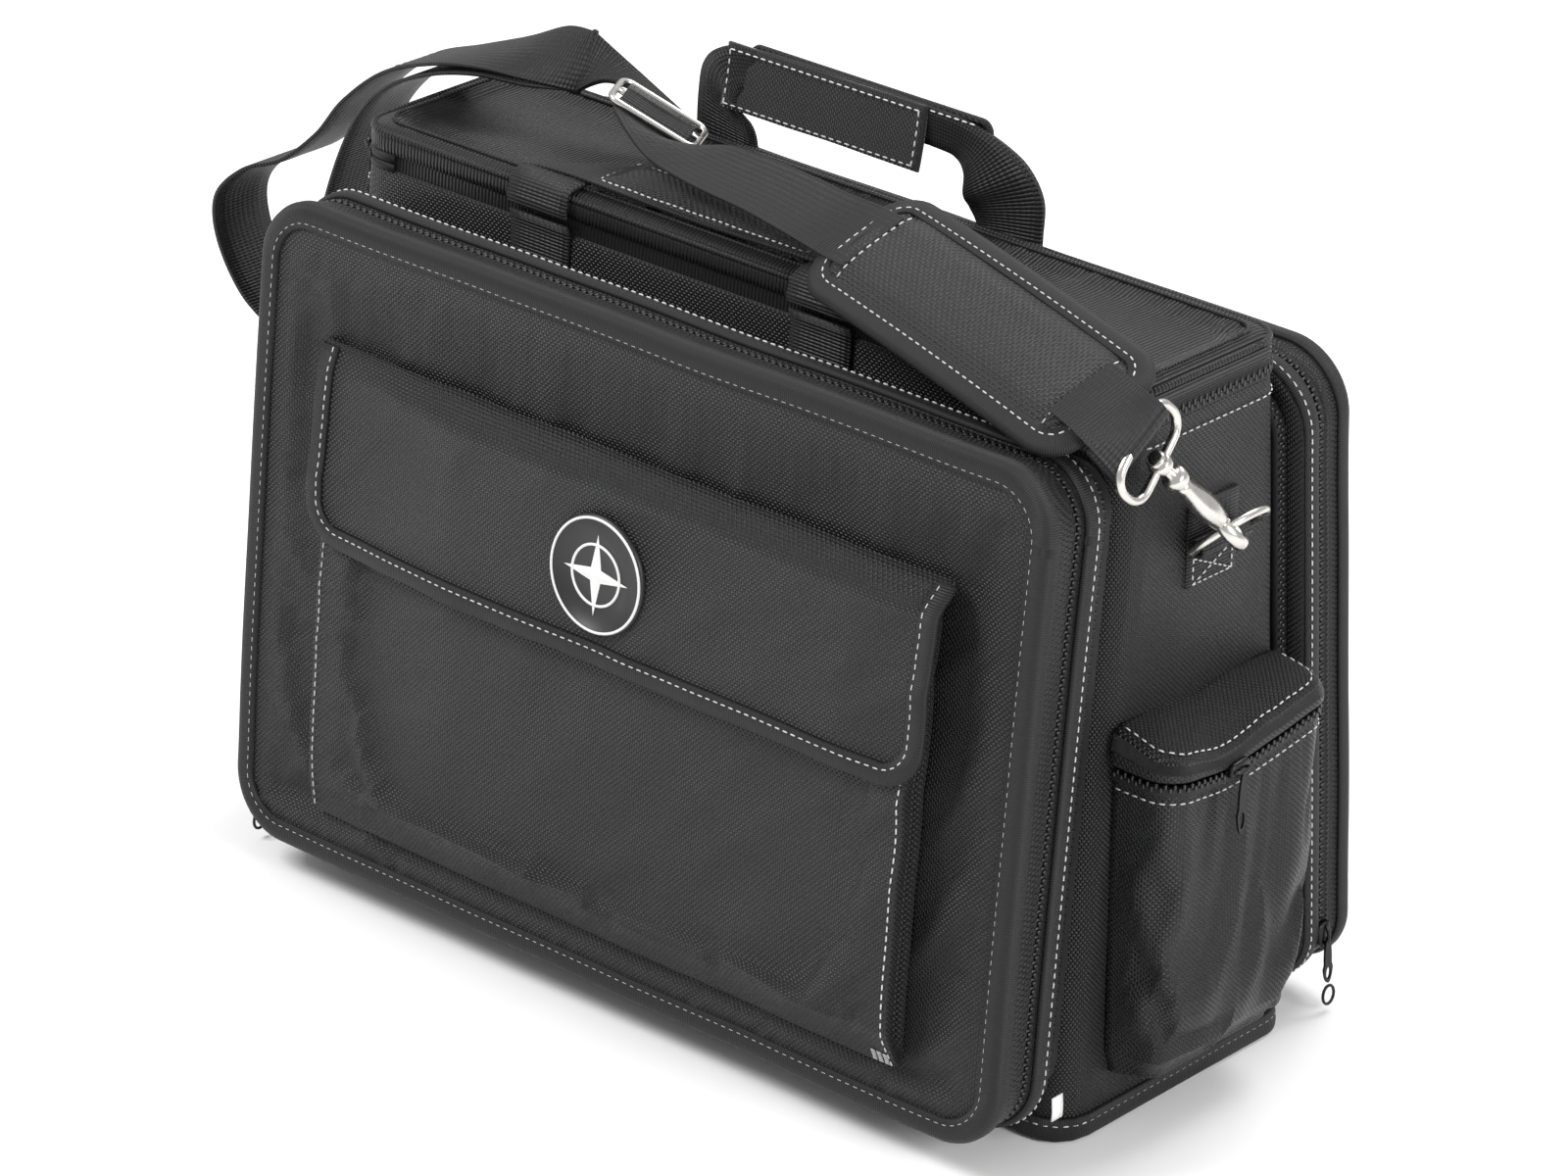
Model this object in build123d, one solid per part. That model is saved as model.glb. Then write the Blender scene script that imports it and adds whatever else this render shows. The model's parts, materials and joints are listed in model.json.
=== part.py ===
from build123d import *
import math
import os

# A soft flight bag: a tapered main body with a zip-round lid, a zipped organiser case on the
# front and on the back, a pouch on each end, two webbing handles and a shoulder strap.
# Frame: origin at the centre of the base's underside, X along the bag, -Y the front, +Z up.

# ---- driving dimensions, mm ----
BODY_W = 480            # body length along X
BASE_DEPTH = 168        # body depth at the floor
SEAM_DEPTH = 108        # body depth at the lid seam
SEAM_Z = 357            # height of the lid seam
RIM_Z = 345             # top edge of the body shell
WALL = 4                # padded wall
BODY_CORNER = 18        # radius of the upright corners
LID_TOP_Z = 365

CASE_W = 485            # width of the front and rear cases
CASE_LOW = 14           # lower edge, measured up the sloping face
CASE_HIGH = 338         # upper edge
CASE_CORNER = 30
CASE_WALL = 3
BINDING_W = 9.5
BINDING_T = 2

# Distances out from the body's sloping face: the case's back, its zip and its outer panel.
FRONT = {"back": 17, "zip": 31, "mid": 34.5, "panel": 38, "out": 57}
REAR = {"back": 8, "zip": 20, "mid": 23.5, "panel": 27, "out": 43}

POCKET_W = 378          # bellows pocket on the front case
POCKET_LOW = 40
POCKET_HIGH = 262
POCKET_OUT = 71
FLAP_W = 392
FLAP_LOW = 181
FLAP_HIGH = 279
FLAP_T = 2.5
BADGE_D = 58
BADGE_UP = 224

END_POCKET_OUT = 34     # how far an end pouch stands out
END_POCKET_Y = 58       # half its width
END_POCKET_LOW = 28
END_ZIP_Z = 184
END_LID_Z = 206
END_SLIDER_Y = -14

WEBBING = 38
WEB_T = 2.2
LEG_OFFSET = 88         # handle legs either side of the handle's centre
FRONT_HANDLE_X = -28
REAR_HANDLE_X = -16
FRONT_ROOT_Z = 353
REAR_ROOT_Z = 346

WIRE_R = 2              # nickel-plated wire of the D-rings
RING_R = 21
RING_LEG = 4
RING_X = 246.8
RING_Y = 4
RING_Z = 280
HOOK_REACH = 61.5       # hook eye to the near bar of its webbing loop
LOOP_DEPTH = 22         # near bar to far bar of the webbing loop
EYE_R = 6.5             # slack inside the webbing where it goes round a far bar

GAP = 0.4               # running gap between pieces that move apart

TILT = math.degrees(math.atan2((BASE_DEPTH - SEAM_DEPTH) / 2, SEAM_Z))

# The strap's lie: the pad's four corners give its centre, run and width directions.
PAD_CENTRE = Vector(147, -51.6, 372.4)
PAD_RUN = Vector(187, -36, -25).normalized()
PAD_ACROSS = Vector(0.03, -0.905, -0.425)
PAD_LENGTH = 187
PAD_WIDTH = 68
PAD_T = 9
ADJUSTER_AT = Vector(-99, 6, 389)
ADJUSTER_ALONG = Vector(0.79, 0.41, -0.46).normalized()
ADJUSTER_ACROSS = Vector(-0.47, 0.88, 0.03)
RIGHT_EYE = Vector(260.6, -10, 294)
RIGHT_BAR = Vector(253, -72, 355)
LEFT_RING_HANG = Vector(-0.45, 0, -0.89)
RIGHT_RING_HANG = Vector(0.7, 0, 0.714)
LEFT_HOOK_RUN = Vector(-0.8, 0, -0.6)

parts = {}


# ---- shapes used more than once ----
def half_depth(z):
    return BASE_DEPTH / 2 - (BASE_DEPTH - SEAM_DEPTH) / 2 * z / SEAM_Z


def tapered_block(grow, z_low, z_high):
    """The body's tapered form between two heights, grown or shrunk all round."""
    length = BODY_W + 2 * grow
    low = half_depth(z_low) + grow
    high = half_depth(z_high) + grow
    outline = Polygon((-low, z_low), (low, z_low), (high, z_high), (-high, z_high), align=None)
    block = extrude(Plane.YZ * outline, amount=length / 2, both=True)
    posts = [e for e in block.edges() if abs(e.tangent_at(0.5).Z) > 0.9]
    return fillet(posts, BODY_CORNER + grow)


def tapered_ring(grow, thick, z_low, z_high):
    return tapered_block(grow, z_low, z_high) - tapered_block(grow - thick, z_low - 1, z_high + 1)


def case_slab(out_low, out_high, inset=0.0):
    """A rounded rectangle on the case outline, between two distances out from the body face."""
    middle = (CASE_LOW + CASE_HIGH) / 2
    plane = Plane(origin=(0, -out_low, middle), x_dir=(1, 0, 0), z_dir=(0, -1, 0))
    height = CASE_HIGH - CASE_LOW - 2 * inset
    outline = RectangleRounded(CASE_W - 2 * inset, height, CASE_CORNER - inset)
    return extrude(plane * outline, amount=out_high - out_low)


def case_ring(out_low, out_high, inset, thick):
    return case_slab(out_low, out_high, inset) - case_slab(out_low - 1, out_high + 1, inset + thick)


def case_box(left, right, out_low, out_high, low, high):
    """A plain box in the case's own frame."""
    centre = Pos((left + right) / 2, -(out_low + out_high) / 2, (low + high) / 2)
    return centre * Box(right - left, out_high - out_low, high - low)


def on_front(shape):
    return Pos(0, -BASE_DEPTH / 2, 0) * Rot(-TILT, 0, 0) * shape


def on_rear(shape):
    return Rot(0, 0, 180) * on_front(shape)


def bar_between(start, end, across, width, thick):
    """A flat strip from start to end whose width runs along across."""
    run = end - start
    face = run.cross(across)
    plane = Plane(origin=(start + end) / 2, x_dir=run, z_dir=face)
    return plane.location * Box(run.length, width, thick)


# ---- main body ----
def body_shell():
    inside = tapered_block(-WALL, WALL, RIM_Z + 20)
    return tapered_block(0, 0, RIM_Z) - inside


def main_divider():
    low, high = 9, 300
    low_y = half_depth(low) - WALL - 1
    high_y = half_depth(high) - WALL - 1
    outline = Polygon((-low_y, low), (low_y, low), (high_y, high), (-high_y, high), align=None)
    return Pos(60, 0, 0) * extrude(Plane.YZ * outline, amount=3, both=True)


def handle_bands():
    """Webbing bands sewn up the front and rear faces under the handles."""
    bands = []
    for centre, place, top in ((FRONT_HANDLE_X, on_front, 343), (-REAR_HANDLE_X, on_rear, 338)):
        for side in (-1, 1):
            x = centre + side * LEG_OFFSET
            strip = case_box(x - WEBBING / 2, x + WEBBING / 2, 0.05, 1.85, 60, top)
            bands.append(place(strip))
    return Compound(children=bands)


def attach_zip(depth, centre):
    """The zipped gusset that holds a case to the body, notched over the handle bands."""
    ring = case_ring(0.1, depth["back"], 8, 6)
    for side in (-1, 1):
        x = centre + side * LEG_OFFSET
        ring -= case_box(x - WEBBING / 2 - 0.5, x + WEBBING / 2 + 0.5, 0, 2.4, 0, 400)
    return ring


parts["body_shell"] = body_shell()
parts["base_board"] = Pos(0, 0, 5.6) * Box(BODY_W - 16, BASE_DEPTH - 18, 3)
parts["base_binding"] = tapered_ring(BINDING_T, BINDING_T, 0, 11)
parts["main_divider"] = main_divider()
parts["handle_bands"] = handle_bands()
front_cut = Pos(0, -SEAM_DEPTH / 2, RIM_Z) * Box(BODY_W * 2, 24, 60)
parts["lid_zip_lower"] = tapered_ring(0.8, 6, RIM_Z, RIM_Z + 3.4) - front_cut
parts["care_label"] = Pos(243.5, -89, 28) * Box(0.8, 12, 16)


# ---- lid ----
def lid_panel():
    base = tapered_block(0, RIM_Z + 7.3, LID_TOP_Z)
    top = base.faces().sort_by(Axis.Z)[-1]
    return chamfer(top.edges(), 6)


parts["lid_zip_upper"] = tapered_ring(0.8, 6, RIM_Z + 3.8, RIM_Z + 7.2) - front_cut
parts["lid_panel"] = lid_panel()
parts["lid_piping"] = tapered_ring(1.7, 1.6, 355.6, 358)


# ---- front and rear cases ----
def case_back(depth):
    hollow = case_slab(depth["back"] + CASE_WALL, depth["zip"] + 1, CASE_WALL)
    return case_slab(depth["back"], depth["zip"]) - hollow


def case_panel(depth):
    hollow = case_slab(depth["panel"] - 1, depth["out"] - CASE_WALL, CASE_WALL)
    return case_slab(depth["panel"], depth["out"]) - hollow


def back_binding(depth):
    return case_ring(depth["zip"] - BINDING_W, depth["zip"], -BINDING_T, BINDING_T)


def panel_binding(depth):
    out = depth["out"]
    rim = case_ring(out - BINDING_W, out, -BINDING_T, BINDING_T)
    face = case_ring(out, out + 1.2, -BINDING_T, BINDING_W)
    return rim + face


def organiser():
    """Slip pockets sewn to the inside of the front case."""
    floor = FRONT["back"] + CASE_WALL
    wide = case_box(-200, 200, floor + 0.05, floor + 2.5, 40, 250)
    low = case_box(-190, 20, floor + 2.5, floor + 5, 45, 170)
    pens = case_box(60, 180, floor + 2.5, floor + 6, 45, 150)
    return wide + low + pens


sides = (("front", on_front, FRONT, FRONT_HANDLE_X), ("rear", on_rear, REAR, -REAR_HANDLE_X))
for name, place, depth, centre in sides:
    parts[name + "_attach_zip"] = place(attach_zip(depth, centre))
    parts[name + "_case_back"] = place(case_back(depth))
    parts[name + "_back_binding"] = place(back_binding(depth))
    parts[name + "_zip_inner"] = place(case_ring(depth["zip"], depth["mid"] - 0.1, 1, 6))
    parts[name + "_zip_outer"] = place(case_ring(depth["mid"] + 0.1, depth["panel"], 1, 6))
    parts[name + "_case_panel"] = place(case_panel(depth))
    parts[name + "_panel_binding"] = place(panel_binding(depth))
parts["front_organiser"] = on_front(organiser())


# ---- bellows pocket, flap and badge ----
def front_pocket():
    half = POCKET_W / 2
    face = FRONT["out"]
    outer = case_box(-half, half, face + 0.05, POCKET_OUT, POCKET_LOW, POCKET_HIGH)
    hollow = case_box(-half + 2, half - 2, face - 1, POCKET_OUT - 2, POCKET_LOW + 2, 300)
    return outer - hollow


def flap_outline(inset, out_low, out_high):
    """The flap's sheet: square top corners, rounded bottom corners."""
    half = FLAP_W / 2 - inset
    sheet = case_box(-half, half, out_low, out_high, FLAP_LOW + inset, FLAP_HIGH)
    bottom = [e for e in sheet.edges().filter_by(Axis.Y) if e.center().Z < FLAP_LOW + inset + 1]
    return fillet(bottom, 22 - inset)


def pocket_flap():
    sheet = flap_outline(0, POCKET_OUT + 0.5, POCKET_OUT + 0.5 + FLAP_T)
    root = FRONT["out"] + 0.3
    fold = case_box(-FLAP_W / 2, FLAP_W / 2, root, POCKET_OUT + 1, FLAP_HIGH - 2, FLAP_HIGH)
    return sheet + fold


flap_face = POCKET_OUT + 0.5 + FLAP_T
parts["front_pocket"] = on_front(front_pocket())
parts["pocket_flap"] = on_front(pocket_flap())
binding_strip = flap_outline(0, flap_face, flap_face + 1.2) - flap_outline(9, flap_face - 1, flap_face + 2)
parts["flap_binding"] = on_front(binding_strip)
badge_plane = Plane(origin=(0, -flap_face, BADGE_UP), x_dir=(1, 0, 0), z_dir=(0, -1, 0))
badge = extrude(badge_plane * Circle(BADGE_D / 2), amount=2.5)
parts["badge"] = on_front(badge)


# ---- end pouches ----
def pouch_block(grow, z_low, z_high, from_x=0.2):
    wide = END_POCKET_OUT + grow - from_x
    block = Box(wide, 2 * (END_POCKET_Y + grow), z_high - z_low)
    block = Pos(BODY_W / 2 + from_x + wide / 2, 0, (z_low + z_high) / 2) * block
    outer = block.edges().filter_by(Axis.Z).sort_by(Axis.X)[-2:]
    return fillet(outer, 15 + grow)


def end_pocket():
    hollow = pouch_block(-2.5, END_POCKET_LOW + 2.5, END_ZIP_Z + 20, from_x=2.7)
    return pouch_block(0, END_POCKET_LOW, END_ZIP_Z) - hollow


def end_pocket_lid():
    low = END_ZIP_Z + GAP
    hollow = pouch_block(-1, low - 5, END_LID_Z - 2.5, from_x=2.7)
    return pouch_block(1.5, low, END_LID_Z) - hollow


def end_pocket_slider():
    x = BODY_W / 2 + END_POCKET_OUT + 1.8
    body = Pos(x + 1.8, END_SLIDER_Y, END_ZIP_Z) * Box(3.6, 12, 9)
    pull = Pos(x + 3, END_SLIDER_Y, END_ZIP_Z - 21) * Box(1.6, 6, 30)
    return Compound(children=[body, pull])


for name, turn in (("right", 0), ("left", 180)):
    parts["end_pocket_" + name] = Rot(0, 0, turn) * end_pocket()
    parts["end_pocket_lid_" + name] = Rot(0, 0, turn) * end_pocket_lid()
    parts["end_pocket_slider_" + name] = Rot(0, 0, turn) * end_pocket_slider()


# ---- handles ----
def front_handle():
    """The front handle, folded down on the lid: two legs over the front edge and a flat bight."""
    y = -SEAM_DEPTH / 2
    route = [(y - 4, FRONT_ROOT_Z), (y - 4, 361), (y + 6, 367.2), (y + 46, 367.2)]
    profile = Plane.YZ * trace(Polyline(*route), WEB_T)
    legs = []
    for side in (-1, 1):
        x = FRONT_HANDLE_X + side * LEG_OFFSET
        legs.append(Pos(x, 0, 0) * extrude(profile, amount=WEBBING / 2, both=True))
    bight = Pos(FRONT_HANDLE_X, y + 27, 367.2) * Box(2 * LEG_OFFSET, WEBBING, WEB_T)
    return bight + legs


def rear_handle():
    """The rear handle, standing: two legs and a top bar of doubled webbing."""
    y = SEAM_DEPTH / 2 + 6
    shape = Pos(REAR_HANDLE_X, y, 401) * Box(2 * LEG_OFFSET + WEBBING, WEB_T, 22)
    for side in (-1, 1):
        x = REAR_HANDLE_X + side * LEG_OFFSET
        shape += Pos(x, y, (REAR_ROOT_Z + 401) / 2) * Box(WEBBING, WEB_T, 401 - REAR_ROOT_Z)
    return shape


parts["front_handle"] = front_handle()
parts["front_handle_grip"] = Pos(FRONT_HANDLE_X, -SEAM_DEPTH / 2 + 27, 370) * Box(136, 34, 3)
parts["rear_handle"] = rear_handle()
parts["rear_handle_grip"] = Pos(REAR_HANDLE_X, SEAM_DEPTH / 2 + 8.7, 401) * Box(150, 3, 22)
parts["handle_wrap"] = Pos(-40, SEAM_DEPTH / 2 + 3.1, 395) * Box(124, 3, 32)


# ---- D-rings and their tabs ----
def ring_tab(sign):
    """Webbing box-stitched to the end panel, with a loop round the D-ring's straight bar."""
    plate_z = (258 + 300) / 2
    plate = Pos(BODY_W / 2 + WEB_T / 2 + 0.05, RING_Y, plate_z) * Box(WEB_T, WEBBING - 2, 300 - 258)
    tube = Pos(RING_X, RING_Y, RING_Z) * Rot(90, 0, 0) * Cylinder(WIRE_R + GAP + WEB_T, WEBBING - 2)
    bore = Pos(RING_X, RING_Y, RING_Z) * Rot(90, 0, 0) * Cylinder(WIRE_R + GAP, WEBBING)
    tab = plate + tube - bore
    return tab if sign > 0 else mirror(tab, Plane.YZ)


def d_ring(bar_centre, hang):
    """A wire D: straight bar along Y, short legs, half-round bow towards hang."""
    bar = Rot(90, 0, 0) * Cylinder(WIRE_R, 2 * RING_R)
    shape = bar
    for side in (-1, 1):
        corner = Pos(0, side * RING_R, 0)
        shape += corner * Sphere(WIRE_R)
        shape += corner * Pos(0, 0, RING_LEG / 2) * Cylinder(WIRE_R, RING_LEG)
    bow_plane = Plane(origin=(0, RING_R, RING_LEG), x_dir=(1, 0, 0), z_dir=(0, 0, 1))
    axis = Axis((0, 0, RING_LEG), (1, 0, 0))
    bow = revolve(bow_plane * Circle(WIRE_R), axis=axis, revolution_arc=180)
    shape += bow
    plane = Plane(origin=bar_centre, x_dir=hang.cross(Vector(0, -1, 0)), z_dir=hang)
    return plane.location * shape


parts["dring_tabs"] = Compound(children=[ring_tab(1), ring_tab(-1)])
right_ring_at = Vector(RING_X, RING_Y, RING_Z)
left_ring_at = Vector(-RING_X, RING_Y, RING_Z)
parts["dring_right"] = d_ring(right_ring_at, RIGHT_RING_HANG)
parts["dring_left"] = d_ring(left_ring_at, LEFT_RING_HANG)


# ---- swivel snap hooks, built with the eye at the origin and the strap side up +Z ----
def hook_body():
    eye = Rot(0, 90, 0) * (Cylinder(11.5, 6) - Cylinder(7, 8))
    mouth = Pos(0, 9.2, -1) * Box(8, 8, 9)
    shank = Pos(0, 0, 27.5) * Box(8, 12, 35)
    shank = fillet(shank.edges().filter_by(Axis.Z), 3)
    collar = Pos(0, 0, 48.5) * Cylinder(6, 7)
    stud = Pos(0, 0, 58) * Cylinder(2.5, 12)
    head = Pos(0, 0, 66) * Cylinder(4.5, 2.2)
    return eye - mouth + shank + collar + stud + head


def hook_gate():
    """The sprung gate that closes the eye's mouth."""
    gate = Pos(0, 9.2, -1) * Box(5, 3, 9 - 2 * GAP)
    return fillet(gate.edges().filter_by(Axis.X), 1)


def hook_loop():
    """The flat webbing loop: near bar on the swivel stud, far bar in the webbing."""
    plane = Plane(origin=(0, 0, HOOK_REACH + LOOP_DEPTH / 2), x_dir=(0, 1, 0), z_dir=(1, 0, 0))
    outer = plane * RectangleRounded(WEBBING + 10, LOOP_DEPTH + 4, 8)
    inner = plane * RectangleRounded(WEBBING + 2, LOOP_DEPTH - 4, 5)
    ring = extrude(outer - inner, amount=2, both=True)
    boss = Pos(0, 0, HOOK_REACH) * Cylinder(5.5, 4.4)
    bore = Pos(0, 0, HOOK_REACH) * Cylinder(2.55, 20)
    return ring + boss - bore


def place_hook(eye_at, run, eye_axis):
    """Location that puts a hook's eye on a ring, its strap side along run."""
    axis = eye_axis - run * eye_axis.dot(run)
    return Plane(origin=eye_at, x_dir=axis, z_dir=run).location


def webbing_eye(centre, axis_dir, run):
    """Webbing wrapped round a loop's far bar."""
    plane = Plane(origin=centre, x_dir=run, z_dir=axis_dir)
    ring = Circle(EYE_R + WEB_T) - Circle(EYE_R)
    return extrude(plane * ring, amount=(WEBBING - 1) / 2, both=True)


right_run = (RIGHT_BAR - RIGHT_EYE).normalized()
right_eye_axis = Vector(0.467, 0.745, 0.476)
right_across = (PAD_ACROSS - right_run * PAD_ACROSS.dot(right_run)).normalized()
right_bar = RIGHT_EYE + right_run * (HOOK_REACH + LOOP_DEPTH)
left_eye = left_ring_at + LEFT_RING_HANG * (RING_R + RING_LEG)
left_bar = left_eye + LEFT_HOOK_RUN * (HOOK_REACH + LOOP_DEPTH)
right_hook_at = place_hook(RIGHT_EYE, right_run, right_eye_axis)
right_loop_at = place_hook(RIGHT_EYE, right_run, right_across.cross(right_run))
left_hook_at = place_hook(left_eye, LEFT_HOOK_RUN, Vector(0, 1, 0))
left_loop_at = place_hook(left_eye, LEFT_HOOK_RUN, Vector(0, 1, 0).cross(LEFT_HOOK_RUN))
parts["hook_right"] = right_hook_at * hook_body()
parts["hook_gate_right"] = right_hook_at * hook_gate()
parts["hook_loop_right"] = right_loop_at * hook_loop()
parts["hook_left"] = left_hook_at * hook_body()
parts["hook_gate_left"] = left_hook_at * hook_gate()
parts["hook_loop_left"] = left_loop_at * hook_loop()


# ---- shoulder strap ----
def shoulder_pad():
    plane = Plane(origin=PAD_CENTRE, x_dir=PAD_RUN, z_dir=PAD_RUN.cross(PAD_ACROSS))
    outline = RectangleRounded(PAD_LENGTH, PAD_WIDTH, 14)
    return extrude(plane * outline, amount=PAD_T / 2, both=True)


def strap_webbing():
    """Webbing from the adjuster to the pad, and the eye that holds the right hook's loop."""
    pad_end = PAD_CENTRE - PAD_RUN * (PAD_LENGTH / 2 + 5)
    middle = Vector(-50, -18, 390)
    start = ADJUSTER_AT - ADJUSTER_ACROSS * 19
    across = Vector(0.3, 0.85, 0.35)
    run = bar_between(start, middle, across, WEBBING, WEB_T)
    run += bar_between(middle, pad_end, PAD_ACROSS, WEBBING, WEB_T)
    eye = webbing_eye(right_bar, right_across, right_run)
    return Compound(children=[run, eye])


def strap_tail():
    """The doubled webbing from the adjuster over the lid's left end to the left hook's loop."""
    x, z = left_bar.X, left_bar.Z
    inner = [(x + 1, z + 7), (-312, 260), (-290, 318), (-262, 360), (-232, 382), (-192, 402)]
    outer = [(x - 6, z + 4), (-348, 250), (-349, 290), (-318, 338), (-266, 374), (-232, 387), (-192, 407)]
    shape = webbing_eye(left_bar, Vector(0, 1, 0), Vector(1, 0, 0))
    for route in (inner, outer):
        radii = [14] * (len(route) - 2)
        profile = Plane.XZ * trace(FilletPolyline(*route, radius=radii), WEB_T)
        shape += Pos(0, RING_Y, 0) * extrude(profile, amount=(WEBBING - 1) / 2, both=True)
    peak = Vector(-192, RING_Y + 6, 404.5)
    landing = ADJUSTER_AT + ADJUSTER_ACROSS * 23.5 - ADJUSTER_ALONG * 6
    shape += bar_between(peak, landing, Vector(0.45, 0.85, 0.1), WEBBING - 1, 4.6)
    return shape


def strap_adjuster():
    """Three-bar slide: a frame with a middle bar and two slots."""
    frame = RectangleRounded(WEBBING + 12, 28, 6)
    for side in (-1, 1):
        frame -= Pos(0, side * 6.6) * RectangleRounded(WEBBING + 3, 8.4, 3)
    plane = Plane(origin=ADJUSTER_AT, x_dir=ADJUSTER_ALONG, z_dir=ADJUSTER_ALONG.cross(ADJUSTER_ACROSS))
    return extrude(plane * frame, amount=1.5, both=True)


parts["shoulder_pad"] = shoulder_pad()
parts["strap_webbing"] = strap_webbing()
parts["strap_tail"] = strap_tail()
parts["strap_adjuster"] = strap_adjuster()


# ---- zip sliders and pulls ----
def case_slider(depth):
    u = -(CASE_W / 2 - 1) - GAP
    return case_box(u - 4.2, u, depth["zip"] + 0.4, depth["panel"] - 0.4, 32, 46)


def case_pull(depth):
    u = -(CASE_W / 2 - 1) - GAP - 4.5
    return case_box(u - 1.6, u, depth["mid"] - 2.5, depth["mid"] + 2.5, 12, 38)


lid_zip_x = -(BODY_W / 2 + 0.8) - GAP
parts["lid_slider"] = Pos(lid_zip_x - 2.1, -38, RIM_Z + 3.6) * Box(4.2, 13, 9)
parts["lid_pull"] = Pos(lid_zip_x - 5.3, -38, 328) * Box(1.6, 7, 40)
for name, place, depth, centre in sides:
    parts[name + "_slider"] = place(case_slider(depth))
    parts[name + "_pull"] = place(case_pull(depth))

# ---- export ----
os.makedirs("parts", exist_ok=True)
for node, shape in parts.items():
    export_step(shape, "parts/" + node + ".step")
print(len(parts), "nodes")
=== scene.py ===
import json
import math

import bmesh
import bpy
from mathutils import Matrix, Vector, noise

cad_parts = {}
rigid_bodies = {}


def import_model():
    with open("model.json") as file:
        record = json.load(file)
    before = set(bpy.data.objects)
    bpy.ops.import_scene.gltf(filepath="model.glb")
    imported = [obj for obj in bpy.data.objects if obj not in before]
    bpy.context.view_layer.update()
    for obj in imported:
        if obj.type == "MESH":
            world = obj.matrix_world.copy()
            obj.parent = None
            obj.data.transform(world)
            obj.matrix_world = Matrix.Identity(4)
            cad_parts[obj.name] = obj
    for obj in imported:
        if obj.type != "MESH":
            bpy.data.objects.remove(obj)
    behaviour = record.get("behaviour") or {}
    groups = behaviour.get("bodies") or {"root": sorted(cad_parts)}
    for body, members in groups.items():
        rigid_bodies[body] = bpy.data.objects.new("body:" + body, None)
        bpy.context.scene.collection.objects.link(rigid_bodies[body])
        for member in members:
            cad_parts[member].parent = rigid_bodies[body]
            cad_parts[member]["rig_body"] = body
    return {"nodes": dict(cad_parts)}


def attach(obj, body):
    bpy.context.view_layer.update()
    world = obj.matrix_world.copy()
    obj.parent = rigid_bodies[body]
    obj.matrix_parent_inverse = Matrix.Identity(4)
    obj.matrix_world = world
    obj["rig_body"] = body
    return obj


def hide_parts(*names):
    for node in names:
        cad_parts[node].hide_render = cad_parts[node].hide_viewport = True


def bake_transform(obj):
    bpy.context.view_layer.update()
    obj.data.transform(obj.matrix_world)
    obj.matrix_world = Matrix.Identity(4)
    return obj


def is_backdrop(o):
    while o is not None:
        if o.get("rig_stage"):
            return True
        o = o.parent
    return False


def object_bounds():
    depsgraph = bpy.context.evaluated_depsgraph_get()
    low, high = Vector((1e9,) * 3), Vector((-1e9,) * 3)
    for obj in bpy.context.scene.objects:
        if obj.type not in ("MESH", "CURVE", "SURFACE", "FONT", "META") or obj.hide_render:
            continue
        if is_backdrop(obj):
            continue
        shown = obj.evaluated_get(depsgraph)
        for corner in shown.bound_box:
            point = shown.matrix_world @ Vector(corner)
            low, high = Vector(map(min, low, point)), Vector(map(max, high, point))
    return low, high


# A soft black flight bag. Lengths are in millimetres here and become metres in build().
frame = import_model()
cad_low, cad_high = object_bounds()

BODY_W = 480
CASE_A = 242.5          # half width of a case
CASE_B = 162            # half height
CASE_V = 176            # its middle, up the sloping face
CASE_R = 30
BODY_R = 18             # the body's upright corners
SEAM_Z = 357            # height of the lid's seam
BASE_HALF = 84          # half the body's depth at its base
TAPER = 30              # how much of that is gone at the seam
TILT = math.atan2(TAPER, SEAM_Z)
SEGMENTS = 240          # points in a ring round the body
FINE_SEGMENTS = 2 * SEGMENTS
OUTSIDE_RINGS = 39      # the body's rings before its lining: 3 at the foot, 34 up the side, 2 at the rim
FRONT = {"back": 17, "zip": 31, "mid": 34.5, "panel": 38, "out": 57}
REAR = {"back": 8, "zip": 20, "mid": 23.5, "panel": 27, "out": 43}
WEBBING = 38


# ---------------------------------------------------------------- materials
def new_material(name):
    material = bpy.data.materials.new(name)
    material.use_nodes = True
    tree = material.node_tree
    return material, tree, tree.nodes["Principled BSDF"]


def math_node(tree, operation, a, b=None):
    node = tree.nodes.new("ShaderNodeMath")
    node.operation = operation
    for socket, value in zip(node.inputs, (a, b)):
        if value is None:
            continue
        if isinstance(value, (int, float)):
            socket.default_value = value
        else:
            tree.links.new(value, socket)
    return node.outputs[0]


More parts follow.
